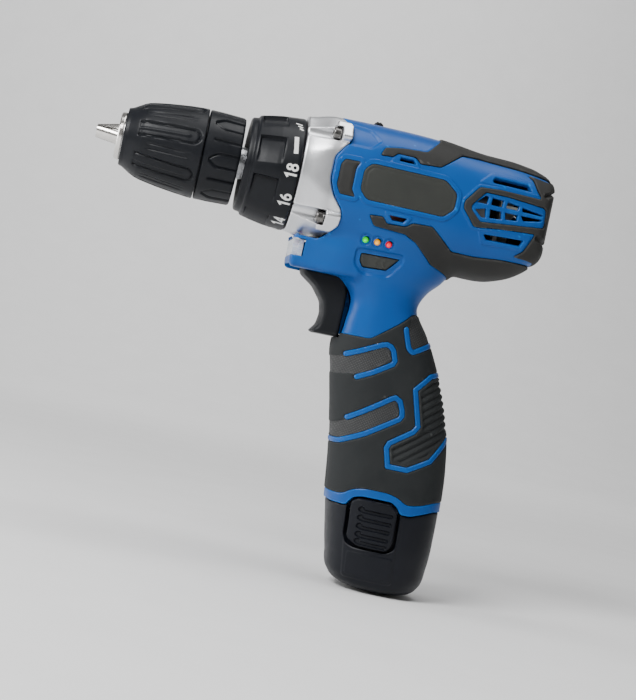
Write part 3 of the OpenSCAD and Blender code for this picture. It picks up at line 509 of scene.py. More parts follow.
def patch(skin, mask, rise, skirt, open_middle=False):
    """Part of a skin, raised by rise(x, y, z), with walls as deep as skirt round its edge."""
    used, tris = np.unique(skin.tris[mask], return_inverse=True)
    tris = tris.reshape(-1, 3)
    base = skin.verts[used]
    normal = normals(skin.field, base)
    top = base + normal * rise(*base.T)[:, None]
    rim = rim_loops(tris)
    if open_middle:          # no wall along the middle plane, where the other half joins on
        rim = rim[base[rim].mean(axis=1)[:, 1] <= -0.02]
    ids = np.unique(rim)
    place = -np.ones(len(base), int)
    place[ids] = len(top) + np.arange(len(ids))
    upper = place[rim]
    walls = pick(np.hstack([upper, upper + len(ids)]), ([1, 0, 2], [1, 2, 3]))
    verts = np.concatenate([top, top[ids], base[ids] - normal[ids] * skirt])
    return verts, np.concatenate([tris, walls])


def mesh_object(name, shape, material, body, replaces=(), sharp=38, mirror=False):
    """A Blender object in metres from points in millimetres and faces; edges over sharp degrees stay crisp."""
    verts = np.array(shape[0], float)
    faces = [tuple(int(i) for i in f) for f in shape[1]]
    if mirror:
        verts = verts * [1, -1, 1]
        faces = [f[::-1] for f in faces]
    mesh = bpy.data.meshes.new(name)
    mesh.from_pydata((verts * MM).tolist(), [], faces)
    mesh.validate()
    mesh.polygons.foreach_set("use_smooth", [True] * len(mesh.polygons))
    mesh.set_sharp_from_angle(angle=math.radians(sharp))
    mesh.materials.append(material)
    obj = bpy.data.objects.new(name, mesh)
    bpy.context.scene.collection.objects.link(obj)
    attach(obj, body)
    if replaces:
        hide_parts(*replaces)
    return obj


def solid_piece(name, field, low, high, step, material, body, replaces, sharp=38):
    """A whole piece that is the surface of one field."""
    skin = Skin(field, low, high, step)
    mesh_object(name, (skin.verts, skin.tris), material, body, replaces, sharp)


def weld_both_sides(name, shape, material, body, replaces):
    """A piece that crosses the middle plane, from its left half."""
    verts, faces = shape
    both = np.concatenate([verts, verts * [1, -1, 1]]), np.concatenate([faces, faces[:, ::-1] + len(verts)])
    mesh = mesh_object(name, both, material, body, replaces).data
    bm = bmesh.new()
    bm.from_mesh(mesh)
    middle = [v for v in bm.verts if abs(v.co.y) < 0.03 * MM]
    bmesh.ops.remove_doubles(bm, verts=middle, dist=0.04 * MM)
    bm.to_mesh(mesh)
    bm.free()


# ---------------- materials

class Nodes:
    """Short names for building one material's nodes."""

    def __init__(self, name, color, roughness, metallic=0.0):
        self.material = bpy.data.materials.new(name)
        self.material.use_nodes = True
        self.tree = self.material.node_tree
        self.shader = self.tree.nodes["Principled BSDF"]
        self.set("Base Color", (*color, 1))
        self.set("Roughness", roughness)
        self.set("Metallic", metallic)
        self.place = self.tree.nodes.new("ShaderNodeTexCoord").outputs["Object"]

    def set(self, socket, value):
        self.shader.inputs[socket].default_value = value

    def node(self, kind, **inputs):
        node = self.tree.nodes.new(kind)
        for key, value in inputs.items():
            socket = node.inputs[key.replace("_", " ")]
            if isinstance(value, bpy.types.NodeSocket):
                self.tree.links.new(value, socket)
            else:
                socket.default_value = value
        return node

    def noise(self, per_mm, detail=3.0, rough=0.55, stretch=None, distortion=0.0):
        """Noise with about per_mm waves in a millimetre."""
        place = self.place
        if stretch:
            place = self.node("ShaderNodeMapping", Vector=place, Scale=stretch).outputs["Vector"]
        return self.node("ShaderNodeTexNoise", Vector=place, Scale=per_mm / MM, Detail=detail, Roughness=rough,
                         Distortion=distortion).outputs["Fac"]

    def ramp(self, fac, stops):
        node = self.node("ShaderNodeValToRGB", Fac=fac)
        ramp = node.color_ramp
        ramp.elements[0].position, ramp.elements[0].color = stops[0][0], (*stops[0][1], 1)
        ramp.elements[1].position, ramp.elements[1].color = stops[-1][0], (*stops[-1][1], 1)
        for position, color in stops[1:-1]:
            ramp.elements.new(position).color = (*color, 1)
        return node.outputs["Color"]

    def mix(self, fac, a, b):
        node = self.tree.nodes.new("ShaderNodeMix")
        node.data_type = "RGBA"
        for name, value in (("Factor", fac), ("A", a), ("B", b)):
            socket = [s for s in node.inputs if s.name == name and s.enabled][0]
            if isinstance(value, bpy.types.NodeSocket):
                self.tree.links.new(value, socket)
            else:
                socket.default_value = (*value, 1)
        return [s for s in node.outputs if s.enabled][0]

    def remap(self, value, low, high, to_low, to_high):
        return self.node("ShaderNodeMapRange", Value=value, From_Min=low, From_Max=high, To_Min=to_low,
                         To_Max=to_high).outputs["Result"]

    def edges(self, low, high):
        """One along convex edges, zero elsewhere."""
        point = self.tree.nodes.new("ShaderNodeNewGeometry").outputs["Pointiness"]
        return self.remap(point, low, high, 0.0, 1.0)

    def link(self, value, socket):
        self.tree.links.new(value, self.shader.inputs[socket])

    def color(self, value):
        self.link(value, "Base Color")

    def roughness(self, value):
        self.link(value, "Roughness")

    def bump(self, height, depth_mm):
        node = self.node("ShaderNodeBump", Height=height, Strength=1.0, Distance=depth_mm * MM)
        self.link(node.outputs["Normal"], "Normal")


def plastic(name, color, light, dark, roughness, grain=1.6, depth=0.012):
    """Moulded plastic: spark-eroded grain, slight mottling, paler scuffs in patches."""
    n = Nodes(name, color, roughness)
    mottle = n.noise(0.05, 4, 0.6)
    scuff = n.noise(0.25, 6, 0.7, distortion=0.6)
    base = n.ramp(mottle, [(0.3, dark), (0.7, color)])
    n.color(n.mix(n.remap(scuff, 0.62, 0.8, 0.0, 0.16), base, light))
    n.roughness(n.remap(scuff, 0.3, 0.75, roughness - 0.05, roughness + 0.1))
    n.bump(n.noise(grain, 2, 0.6), depth)
    n.set("Specular IOR Level", 0.22)
    return n.material


def shell_plastic():
    """Blue moulded plastic, paler along its convex edges and in scuffed patches."""
    n = Nodes("shell_blue", (0.0005, 0.068, 0.29), 0.36)
    mottle = n.noise(0.035, 3, 0.55)
    scuff = n.noise(0.3, 7, 0.72, distortion=0.8)
    base = n.ramp(mottle, [(0.25, (0.0003, 0.060, 0.265)), (0.75, (0.001, 0.078, 0.32))])
    # paler blue along convex edges, from Pointiness
    pale_edged = n.mix(n.edges(0.53, 0.6), base, (0.006, 0.14, 0.48))
    n.color(n.mix(n.remap(scuff, 0.66, 0.82, 0.0, 0.2), pale_edged, (0.01, 0.11, 0.36)))
    n.roughness(n.remap(scuff, 0.3, 0.75, 0.3, 0.44))
    n.bump(n.noise(1.3, 2, 0.6), 0.011)
    n.set("Specular IOR Level", 0.24)
    return n.material


def rubber(name, color, pale):
    """Soft overmould: fine grain, dusty bloom in patches, paler convex edges."""
    n = Nodes(name, color, 0.62)
    bloom = n.noise(0.06, 5, 0.62, distortion=0.3)
    grain = n.noise(2.4, 2, 0.7)
    base = n.mix(n.remap(bloom, 0.42, 0.72, 0.0, 0.45), color, pale)
    # paler along convex edges, from Pointiness
    n.color(n.mix(n.edges(0.53, 0.6), base, tuple(1.5 * c for c in pale)))
    n.roughness(n.remap(bloom, 0.3, 0.75, 0.56, 0.74))
    n.bump(grain, 0.03)
    n.set("Specular IOR Level", 0.16)
    return n.material


def mesh_rubber():
    """Overmould with a fine raised mesh, for the finger areas; its colour follows the mesh's height, painted
    shade in the hollows and painted highlight on the raised knots.
    """
    n = Nodes("mesh_rubber", (0.016, 0.018, 0.019), 0.6)
    turned = n.node("ShaderNodeMapping", Vector=n.place, Rotation=(0, math.radians(38), 0)).outputs["Vector"]
    rows = []
    for direction in ("X", "Z"):
        wave = n.node("ShaderNodeTexWave", Vector=turned, Scale=0.34 / MM, Distortion=0.0)
        wave.bands_direction = direction
        rows.append(wave.outputs["Fac"])
    product = n.node("ShaderNodeMath")
    product.operation = "MULTIPLY"
    for socket, row in zip(product.inputs, rows):
        n.tree.links.new(row, socket)
    weave = product.outputs[0]
    # painted shade and highlight: darker in the mesh's hollows, paler on its raised knots
    n.color(n.ramp(weave, [(0.0, (0.014, 0.015, 0.016)), (0.8, (0.034, 0.035, 0.035))]))
    n.roughness(n.remap(n.noise(0.3, 4), 0.3, 0.7, 0.55, 0.72))
    n.bump(weave, 0.12)
    return n.material


def cast_metal():
    """Tumbled die-cast aluminium: satin, faintly pitted, brighter on edges."""
    n = Nodes("cast_aluminium", (0.72, 0.73, 0.75), 0.34, 1.0)
    flow = n.noise(0.07, 5, 0.6, distortion=1.2)
    pits = n.noise(1.1, 4, 0.75)
    base = n.ramp(flow, [(0.28, (0.70, 0.71, 0.73)), (0.6, (0.77, 0.78, 0.80)), (0.78, (0.74, 0.74, 0.76))])
    n.color(n.mix(n.edges(0.52, 0.58), base, (0.9, 0.9, 0.92)))
    n.roughness(n.remap(flow, 0.25, 0.75, 0.33, 0.40))
    n.bump(pits, 0.02)
    return n.material


def turned_metal(name, color, roughness, stretch=(14, 1, 1), spots=(0.2, 0.19, 0.17)):
    """Turned or ground steel: fine lathe lines and a few oil spots."""
    n = Nodes(name, color, roughness, 1.0)
    lines = n.noise(0.5, 3, 0.6, stretch=stretch)
    spot = n.noise(0.22, 5, 0.65)
    n.color(n.mix(n.remap(spot, 0.6, 0.78, 0.0, 0.35), color, spots))
    n.roughness(n.remap(lines, 0.3, 0.7, max(roughness - 0.08, 0.06), roughness + 0.1))
    n.bump(lines, 0.012)
    return n.material


def lamp(name, color, strength):
    """A lit coloured lens: bright in the middle, deeper at its rim."""
    n = Nodes(name, color, 0.16)
    facing = n.node("ShaderNodeLayerWeight", Blend=0.35).outputs["Facing"]
    pale = tuple(min(1, c * 1.1 + 0.01) for c in color)
    n.color(n.mix(facing, pale, tuple(0.55 * c for c in color)))
    n.link(n.mix(facing, pale, tuple(0.4 * c for c in color)), "Emission Color")
    n.set("Emission Strength", strength)
    n.set("Coat Weight", 0.6)
    n.bump(n.noise(0.6, 2), 0.01)
    return n.material


def frosted():
    """Ribbed milky plastic of the work light."""
    n = Nodes("frosted_lens", (0.78, 0.80, 0.9), 0.3)
    ribs = n.noise(0.35, 2, 0.5, stretch=(1, 1, 9))
    n.color(n.ramp(ribs, [(0.3, (0.55, 0.57, 0.78)), (0.62, (0.9, 0.91, 0.96))]))
    n.set("Transmission Weight", 0.35)
    n.set("Subsurface Weight", 0.2)
    n.set("Coat Weight", 0.4)
    n.bump(ribs, 0.12)
    return n.material


def printed(name, color):
    """Screen print: flat ink with slightly uneven cover."""
    n = Nodes(name, color, 0.5)
    cover = n.noise(0.9, 4, 0.7)
    n.color(n.ramp(cover, [(0.25, tuple(0.8 * c for c in color)), (0.45, color)]))
    n.bump(cover, 0.01)
    return n.material


def painted_floor():
    """Pale studio paper."""
    n = Nodes("floor_paper", (0.86, 0.86, 0.86), 0.9)
    n.color(n.ramp(n.noise(0.02, 5, 0.6), [(0.3, (0.85, 0.85, 0.85)), (0.7, (0.88, 0.88, 0.88))]))
    return n.material


BLUE = shell_plastic()
BAND_RUBBER = rubber("band_rubber", (0.026, 0.026, 0.025), (0.046, 0.045, 0.043))
GRIP_RUBBER = rubber("grip_rubber", (0.017, 0.019, 0.020), (0.032, 0.034, 0.034))
MESH_RUBBER = mesh_rubber()
LABEL_PLASTIC = plastic("label_plastic", (0.040, 0.042, 0.038), (0.08, 0.08, 0.075),
                        (0.032, 0.034, 0.031), 0.46)
CHUCK_PLASTIC = plastic("chuck_plastic", (0.007, 0.008, 0.011), (0.03, 0.034, 0.042),
                        (0.005, 0.006, 0.008), 0.38, grain=1.2, depth=0.014)
CASE_PLASTIC = plastic("case_plastic", (0.006, 0.007, 0.011), (0.026, 0.03, 0.04), (0.004, 0.005, 0.008), 0.42)
TRIGGER_PLASTIC = plastic("trigger_plastic", (0.009, 0.010, 0.012), (0.035, 0.038, 0.042),
                          (0.007, 0.008, 0.010), 0.44)
DARK_PLASTIC = plastic("dark_plastic", (0.006, 0.006, 0.007), (0.03, 0.03, 0.03), (0.004, 0.004, 0.005), 0.5)
CAST = cast_metal()
STEEL = turned_metal("turned_steel", (0.50, 0.51, 0.53), 0.3)
BRIGHT = turned_metal("polished_steel", (0.72, 0.70, 0.67), 0.16, spots=(0.4, 0.38, 0.34))
GEAR_STEEL = turned_metal("gear_steel", (0.36, 0.34, 0.31), 0.34, stretch=(1, 1, 1))
DARK_STEEL = turned_metal("dark_steel", (0.16, 0.155, 0.15), 0.32, stretch=(1, 1, 1))
ZINC = turned_metal("zinc_plate", (0.52, 0.52, 0.54), 0.38, stretch=(1, 1, 1), spots=(0.35, 0.34, 0.3))
COPPER = turned_metal("copper", (0.72, 0.30, 0.12), 0.3)
LAMINATE = turned_metal("laminations", (0.18, 0.16, 0.15), 0.45, stretch=(60, 1, 1))
FERRITE = plastic("ferrite", (0.04, 0.04, 0.042), (0.1, 0.1, 0.1), (0.03, 0.03, 0.03), 0.7)
BOARD = plastic("board", (0.01, 0.10, 0.03), (0.2, 0.3, 0.1), (0.006, 0.07, 0.02), 0.3)
NYLON = plastic("fan_nylon", (0.55, 0.55, 0.5), (0.7, 0.7, 0.66), (0.48, 0.48, 0.43), 0.5)
WRAP = plastic("cell_wrap", (0.02, 0.22, 0.10), (0.1, 0.35, 0.2), (0.015, 0.17, 0.08), 0.25)
INK = printed("white_ink", (0.82, 0.82, 0.80))

NODE_LOOKS = {
    CAST: ["gearbox_head"], DARK_STEEL: ["head_screws", "body_screws"],
    STEEL: ["spindle_bearings", "clutch_spring", "clutch_washer", "trigger_spring", "spindle", "chuck_body",
            "shift_yoke", "motor_shaft"],
    BRIGHT: ["clutch_balls", "nose_ring", "jaw_1", "jaw_2", "jaw_3"],
    GEAR_STEEL: ["ring_gear_front", "ring_gear_rear", "chuck_nut", "carrier_sun", "pinion", "planet_a1",
                 "planet_a2", "planet_a3", "planet_b1", "planet_b2", "planet_b3"],
    DARK_PLASTIC: ["gear_casing", "motor_end_bell", "switch_body", "terminal_block", "speed_switch"],
    ZINC: ["motor_can"], FERRITE: ["motor_magnets"], LAMINATE: ["rotor_core"], COPPER: ["commutator"],
    NYLON: ["fan"], BOARD: ["status_board"], WRAP: ["battery_cells"], BLUE: ["shell_left", "shell_right"],
    BAND_RUBBER: ["band_left", "band_right", "rear_bumper", "side_pads"],
    GRIP_RUBBER: ["grip_left", "grip_right"], LABEL_PLASTIC: ["label_plates", "direction_button"],
    CHUCK_PLASTIC: ["front_sleeve", "rear_sleeve", "torque_collar"], TRIGGER_PLASTIC: ["trigger"],
    CASE_PLASTIC: ["battery_case", "latch_left", "latch_right"], frosted(): ["work_light_lens"],
    lamp("status_green", (0.0, 0.75, 0.02), 0.9): ["status_led_green"],
    lamp("status_amber", (0.95, 0.36, 0.0), 0.9): ["status_led_amber"],
    lamp("status_red", (0.82, 0.0, 0.02), 0.8): ["status_led_red"],
}


def dress_cad_nodes():
    """Materials for all CAD parts, those inside too, and worn edges on the jaws."""
    for material, nodes in NODE_LOOKS.items():
        for name in nodes:
            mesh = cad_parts[name].data
            mesh.materials.clear()
            mesh.materials.append(material)
    for name in ("jaw_1", "jaw_2", "jaw_3"):
        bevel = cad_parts[name].modifiers.new("worn_edges", "BEVEL")
        bevel.width, bevel.segments, bevel.limit_method = 0.12 * MM, 2, "ANGLE"


# ---------------- housing

SEAM = 0.03              # half the gap between the two shells
CREVICE = 0.1            # gap between a rubber piece and its recess
ROUND = 0.5              # radius of the moulded edges beside a gap


def bumper_mark(x, z):
    """Front edge of the rear cap."""
    return BUMPER_X - x + 0 * z


BACK_FRAME = union(RING_OUT, UPPER_PAD, LOWER_PAD)
RING = minus(BACK_FRAME, RING_IN)
UPPER_GROOVE = line_distance([[92.5, 181.8], [97, 184.6], [112, 186.4]], 1.4)
LOWER_GROOVE = line_distance([[92, 163.4], [98, 161.9], [112, 161.4]], 1.8)
RIDGED_GRIP = minus(GRIP, RIDGES)
BANDS = union(UPPER_BAND, LOWER_BAND, RING)
INLAYS = (BANDS, RIDGED_GRIP, LABEL, SIDE_PAD, bumper_mark)     # whatever is let into the blue shells
BUTTON_MARGIN = 0.45     # gap round the direction button
ON_SEAM = 0.42           # the rounded edge beside the seam ends here


def round_holes(places, radius):
    """Signed distance to round holes of one size."""
    return lambda x, z: np.min([np.hypot(x - a, z - b) for a, b in places], axis=0) - radius


screw_holes = round_holes(SCREW_PLACES, SCREW_WELL_R)
led_holes = round_holes(LED_PLACES, LED_HOLE_R)


def opening(half, front, rear, bottom, top):
    """A box-shaped hole in the shells, half wide on either side of the middle."""
    return lambda x, y, z: np.max([np.abs(y) - half, front - x, x - rear, bottom - z, z - top], axis=0)


FAR = 1000               # beyond the whole drill
trigger_slot = opening(8.95, -FAR, 21.6, 104.4, 131.6)
switch_slot = opening(4.7, 8.6, 26.2, 190, FAR)
lens_slot = opening(30, -FAR, -3.6, 134.8, 142.2)


def middle_mark(x, y, z):
    """How far to the left of the middle plane."""
    return -y


def edge_drop(distance, radius=ROUND, depth=ROUND):
    """How far a rounded edge falls away this near its border."""
    t = 1 - np.clip(distance / radius, 0, 1)
    return depth * (1 - np.sqrt(np.clip(1 - t * t, 0, 1)))


def shell_rise(x, y, z):
    """Height of the blue plastic over the bare form: rims, ridges, sunk areas and rounded edges."""
    rise = -edge_drop(union(*INLAYS)(x, z)) - edge_drop(np.abs(y) - SEAM, 0.4, 0.35)
    rise -= edge_drop(HEAD_EDGE(x, z) - 0.1, 0.6, 0.5)
    rise += 0.45 * smooth_step((2.3 - np.minimum(LABEL(x, z), SIDE_PAD(x, z))) / 0.5)
    rise += 0.3 * smooth_step((1.5 - np.abs(RING_OUT(x, z))) / 0.5) * (RING_OUT(x, z) > 0)
    rise += 0.4 * smooth_step((0.3 - VENT_RIM(x, z)) / 0.5)
    rise -= edge_drop(np.minimum(VENTS(x, z), GRILLE(x, z)), 0.4, 0.35)
    in_grip = smooth_step(-GRIP(x, z) / 0.6)
    rise += 0.85 * in_grip - edge_drop(-RIDGES(x, z), 0.5, 0.35) * in_grip
    rise += 0.55 * smooth_step((47 - z) / 1.5) * (1 - in_grip)
    rise -= 0.9 * smooth_step((-FRONT_STEP(x, z) + 0.4) / 1.4) * (x > -5)
    rise -= 0.8 * smooth_step((0.3 - BUTTON_RIM(x, z)) / 0.9)
    rise -= 0.35 * smooth_step((0.5 - np.abs(led_holes(x, z) - 0.5)) / 0.3)
    return rise


def band_rise(x, y, z):
    return 0.7 - edge_drop(-BANDS(x, z), 0.6, 0.55) - edge_drop(np.abs(y) - SEAM, 0.4, 0.4) - cap_grooves(x, z)


def cap_grooves(x, z):
    """Two grooves that divide the rear cap into three pads."""
    return 1.3 * smooth_step((0.5 - np.minimum(UPPER_GROOVE(x, z), LOWER_GROOVE(x, z))) / 0.9)


RIB_PITCH = 2.9
RIB_SLANT = math.radians(37)


def rib_wave(x, z):
    """One on the ribs of the rear grip, zero between them."""
    s = -x * math.sin(RIB_SLANT) + z * math.cos(RIB_SLANT)
    return 0.5 + 0.5 * np.cos(2 * math.pi * s / RIB_PITCH)


def grip_rise(x, y, z):
    rise = 0.7 - edge_drop(-RIDGED_GRIP(x, z), 0.7, 0.6) - edge_drop(np.abs(y) - SEAM, 0.5, 0.4)
    ribs = smooth_step((-REAR_GRIP(x, z) - 2.0) / 1.2)
    rise -= ribs * (0.25 + 0.75 * (1 - rib_wave(x, z)) ** 1.5)
    rise -= 0.3 * smooth_step((-MESH_AREAS(x, z) - 1.2) / 0.5)
    return rise


def bumper_rise(x, y, z):
    return 0.7 - edge_drop(-bumper_mark(x, z), 0.6, 0.55) - cap_grooves(x, z)


def label_rise(x, y, z):
    inside = -LABEL(x, z)
    return 0.15 - edge_drop(inside, 0.5, 0.35) - 0.12 * smooth_step((0.5 - np.abs(inside - 1.6)) / 0.3)


def pad_rise(x, y, z):
    return 0.15 + 0.5 * smooth_step(-SIDE_PAD(x, z) / 1.4) - edge_drop(-SIDE_PAD(x, z), 0.4, 0.3)


def button_rise(x, y, z):
    """The direction button, with two raised chevrons."""
    inside = -BUTTON_HOLE(x, z) - BUTTON_MARGIN
    chevron = np.min([np.abs((x - c) - 0.9 * np.abs(z - 138.8)) for c in (26.6, 29.8)], axis=0)
    mark = smooth_step((0.55 - chevron) / 0.3) * (np.abs(z - 138.8) < 1.5)
    return -0.15 - edge_drop(inside, 0.6, 0.6) + 0.22 * mark


def cut_housing():
    """The left half of the housing's surface, cut along every outline on it."""
    low = [BODY_ROWS[0, 0] - 7.5, -30, FOOT_LOW - 1.5]
    skin = Skin(housing_field, low, [TAIL_X + 1.4, 1.2, AXIS_Z + 30], 1.0, finer=1)
    edge = [-ROUND, -CREVICE, CREVICE, ROUND]
    skin.cut(middle_mark, [0.0, SEAM, ON_SEAM])
    for outline, levels in (
            (HEAD_EDGE, [0.1, 0.6]), (FOOT_EDGE, [0.0, 0.5]), (bumper_mark, edge), (UPPER_BAND, edge),
            (LOWER_BAND, edge), (BACK_FRAME, edge), (RING_OUT, [1.0, 1.5]), (RING_IN, edge),
            (LABEL, edge + [1.8, 2.3]), (SIDE_PAD, edge + [1.8, 2.3]), (GRIP, edge), (RIDGES, edge),
            (BUTTON_HOLE, [-0.9, -BUTTON_MARGIN, 0.0]), (BUTTON_RIM, [-0.6, 0.3]), (VENTS, [0.0, 0.4]),
            (GRILLE, [0.0, 0.4]), (VENT_RIM, [-0.2, 0.3]), (led_holes, [0.0]), (screw_holes, [0.0]),
            (UPPER_GROOVE, [-0.3, 0.5]), (LOWER_GROOVE, [-0.3, 0.5])):
        skin.cut(side_mark(outline), levels)
    for slot, levels in ((trigger_slot, [0.0]), (switch_slot, [0.0]), (lens_slot, [-0.15, 0.0])):
        skin.cut(slot, levels)
    x, y, z = skin.centres().T
    skin.keep((y < 0) & (HEAD_EDGE(x, z) > 0.1) & (FOOT_EDGE(x, z) > 0))
    return skin


def house_pieces(skin):
    """Rear cap, shells, rubber, plates and the direction button from the cut surface."""
    x, y, z = skin.centres().T
    bumper = bumper_mark(x, z) < 0
    band = ~bumper & (BANDS(x, z) < 0)
    grip, label, pad = RIDGED_GRIP(x, z) < 0, LABEL(x, z) < 0, SIDE_PAD(x, z) < 0
    borders = (UPPER_BAND, LOWER_BAND, RING) + INLAYS[1:]
    border = np.min([np.abs(f(x, z)) for f in borders], axis=0) < CREVICE
    holes = (np.min([VENTS(x, z), GRILLE(x, z), BUTTON_HOLE(x, z), trigger_slot(x, y, z), switch_slot(x, y, z),
                     lens_slot(x, y, z)], axis=0) < 0)
    clear = ~border & ~holes & (-y > SEAM)
    cap = patch(skin, bumper & ~border, bumper_rise, 1.4, open_middle=True)
    weld_both_sides("rear_cap", cap, BAND_RUBBER, "housing", ("rear_bumper",))
    for side, mirror in (("left", False), ("right", True)):
        here = clear & ((screw_holes if mirror else led_holes)(x, z) > 0)
        blue = here & ~(bumper | band | grip | label | pad)
        for name, mask, rise, depth, material, slot, node in (
                ("shell", blue, shell_rise, 1.9, BLUE, "shell_blue", "shell_" + side),
                ("bands", here & band, band_rise, 1.0, BAND_RUBBER, "grey_rubber", "band_" + side),
                ("grip", here & grip, grip_rise, 1.0, GRIP_RUBBER, "grip_rubber", "grip_" + side),
                ("label", clear & label, label_rise, 0.9, LABEL_PLASTIC, "label_grey", "label_plates"),
                ("pad", clear & pad, pad_rise, 0.9, BAND_RUBBER, "grey_rubber", "side_pads")):
            obj = mesh_object("%s_%s_skin" % (name, side), patch(skin, mask, rise, depth), material, "housing",
                              (node,), mirror=mirror)
            if name == "grip":
                paint_mesh_areas(obj)
        button = patch(skin, BUTTON_HOLE(x, z) < -BUTTON_MARGIN, button_rise, 3.2)
        mesh_object("direction_button_" + side, button, LABEL_PLASTIC, "direction_button",
                    ("direction_button",), mirror=mirror)


def paint_mesh_areas(obj):
    """Gives the finger areas of a grip piece the mesh-textured rubber."""
    obj.data.materials.append(MESH_RUBBER)
    centre = np.empty(3 * len(obj.data.polygons))
    obj.data.polygons.foreach_get("center", centre)
    x, _, z = centre.reshape(-1, 3).T / MM
    obj.data.polygons.foreach_set("material_index", (MESH_AREAS(x, z) < -1.4).astype(int))


# ---------------- gearbox head

SCREW_Y, SCREW_TOP_Z, SCREW_LOW_Z = 20.6, 18.8, -17.3     # head screws, heights from the spindle axis
SCREW_SINK = 2.1         # from the shell's outside to the top of a body screw
HEAD_FRONT_X = -12.8
# Flat facets of the casting's side: angle of the normal above the horizontal, distance from the axis
FACETS = [(0, 25.7), (23.9, 28.5), (52, 28.6), (-11.2, 26.6), (-51.4, 27.6)]


def ear(y, dz, x, screw_z, reach):
    """Block of the casting round one screw."""
    turn = math.atan2(screw_z, SCREW_Y)
    out = y * math.cos(turn) + dz * math.sin(turn)
    across = dz * math.cos(turn) - y * math.sin(turn)
    section = smooth_max(np.abs(across) - 4.9, out - math.hypot(SCREW_Y, screw_z) - reach, 1.6)
    return smooth_max(section, np.maximum(-1.2 - x, x - 12), 0.7)


def head_field(x, y, z):
    """The casting: the housing's form made narrower, with flats, ledges, ears and screw pockets."""
    dz, side = z - AXIS_Z, np.abs(y)
    taper = 2.6 * (1 - smooth_step((x - HEAD_FRONT_X) / 13.5)) - 1.0 * smooth_step((x - 1) / 6)
    solid = body_field(np.maximum(x, 0), y, z) + 0.12 + 2.2 * (1 - smooth_step((x - HEAD_FRONT_X) / 12))
    for angle, far in FACETS:
        a = math.radians(angle)
        less = taper * (0.45 if angle == 0 else 1)
        solid = smooth_max(solid, side * math.cos(a) + dz * math.sin(a) - far + less, 0.5)
    ledge = np.maximum(np.abs(dz + 15.2) - 0.8, side * 0.98 - dz * 0.19 - 27.3 + taper)
    solid = smooth_min(solid, ledge, 0.4)
    for screw_z, reach in ((SCREW_TOP_Z, 4.0), (SCREW_LOW_Z, 3.6)):
        solid = smooth_min(solid, ear(side, dz, x, screw_z, reach), 0.5)
        pocket = np.hypot(np.minimum(side - SCREW_Y, 0), dz - screw_z) - 3.15
        solid = smooth_cut(solid, smooth_max(pocket, x - 1.4, 0.2), 0.4)
    return smooth_max(solid, HEAD_FRONT_X - x, 0.9)


def cross_slots(a, b, half, reach):
    """Two crossed slots, negative inside."""
    return np.minimum(np.maximum(np.abs(a) - half, np.abs(b) - reach),
                      np.maximum(np.abs(b) - half, np.abs(a) - reach))


def head_screw_field(x, y, z):
    """The four screws of the casting, pan heads with crossed slots."""
    dy = np.abs(y) - SCREW_Y
    above, below = z - AXIS_Z - SCREW_TOP_Z, z - AXIS_Z - SCREW_LOW_Z
    dz = np.where(np.abs(above) < np.abs(below), above, below)
    r = np.hypot(dy, dz)
    head = smooth_max(r - 2.75, np.abs(x + 0.5) - 1.75, 0.7)
    head = smooth_cut(head, np.maximum(cross_slots(dy, dz, 0.38, 1.8), x + 1.1), 0.15)
    return np.minimum(head, np.maximum(r - 1.45, np.abs(x - 4.8) - 5))


def body_screw_pieces():
    """The screws that join the shells, sunk in wells on the right side."""
    scan = np.linspace(0, 30, 301)
    for k, (place_x, place_z) in enumerate(SCREW_PLACES):
        inside = housing_field(np.full_like(scan, place_x), scan, np.full_like(scan, place_z)) < 0
        top = scan[inside].max() - SCREW_SINK

        def field(x, y, z):
            dx, dz = x - place_x, z - place_z
            r = np.hypot(dx, dz)
            head = smooth_max(r - 2.35, np.abs(y - top + 0.9) - 0.9, 0.5)
            head = smooth_cut(head, np.maximum(cross_slots(dx, dz, 0.35, 1.5), top - 0.8 - y), 0.15)
            return np.minimum(head, np.maximum(r - 1.3, np.abs(y - top + 4) - 4.5))

        solid_piece("body_screw_%d" % (k + 1), field, [place_x - 3, top - 9, place_z - 3],
                    [place_x + 3, top + 0.6, place_z + 3], 0.3, DARK_STEEL, "housing",
                    ("body_screws",))


def head_pieces():
    for side, low_y, high_y in (("left", -24.5, -17), ("right", 17, 24.5)):
        for level, dz in (("upper", SCREW_TOP_Z), ("lower", SCREW_LOW_Z)):
            solid_piece("head_screw_%s_%s" % (side, level), head_screw_field, [-3.2, low_y, AXIS_Z + dz - 3.8],
                        [10.8, high_y, AXIS_Z + dz + 3.8], 0.3, DARK_STEEL, "housing",
                        ("head_screws",))
    skin = Skin(head_field, [HEAD_FRONT_X - 1.5, -34, AXIS_Z - 32], [9.5, 1.1, AXIS_Z + 33], 0.8, finer=1)
    skin.cut(middle_mark, [0.0])
    skin.cut(side_mark(HEAD_EDGE), [-0.5, -0.1])
    x, y, z = skin.centres().T
    half = patch(skin, (y < 0) & (HEAD_EDGE(x, z) < -0.1),
                 lambda x, y, z: -edge_drop(-0.1 - HEAD_EDGE(x, z), 0.4, 0.3), 2.5, open_middle=True)
    weld_both_sides("gearbox_casting", half, CAST, "housing", ("gearbox_head",))
    lathe_piece("collar_tube", [(-9, 11), (-34.2, 11), (-34.5, 11.3), (-34.5, 13.7), (-34.2, 14), (-9, 14)], 96,
                None, CAST, "housing", ("gearbox_head",))


# ---------------- round parts

def spaced(points, step):
    """The same line with points at most a step apart."""
    out = [points[0]]
    for p, q in zip(points, points[1:]):
        n = max(1, math.ceil(math.dist(p, q) / step))
        out += [tuple(np.array(p) + (np.array(q) - p) * k / n) for k in range(1, n + 1)]
    return out


def turned(x, r, angle):
    """Points at a distance r from the spindle axis. Angle 0 faces -Y, 90 degrees +Z."""
    return np.stack([x, -r * np.cos(angle), AXIS_Z + r * np.sin(angle)], -1)


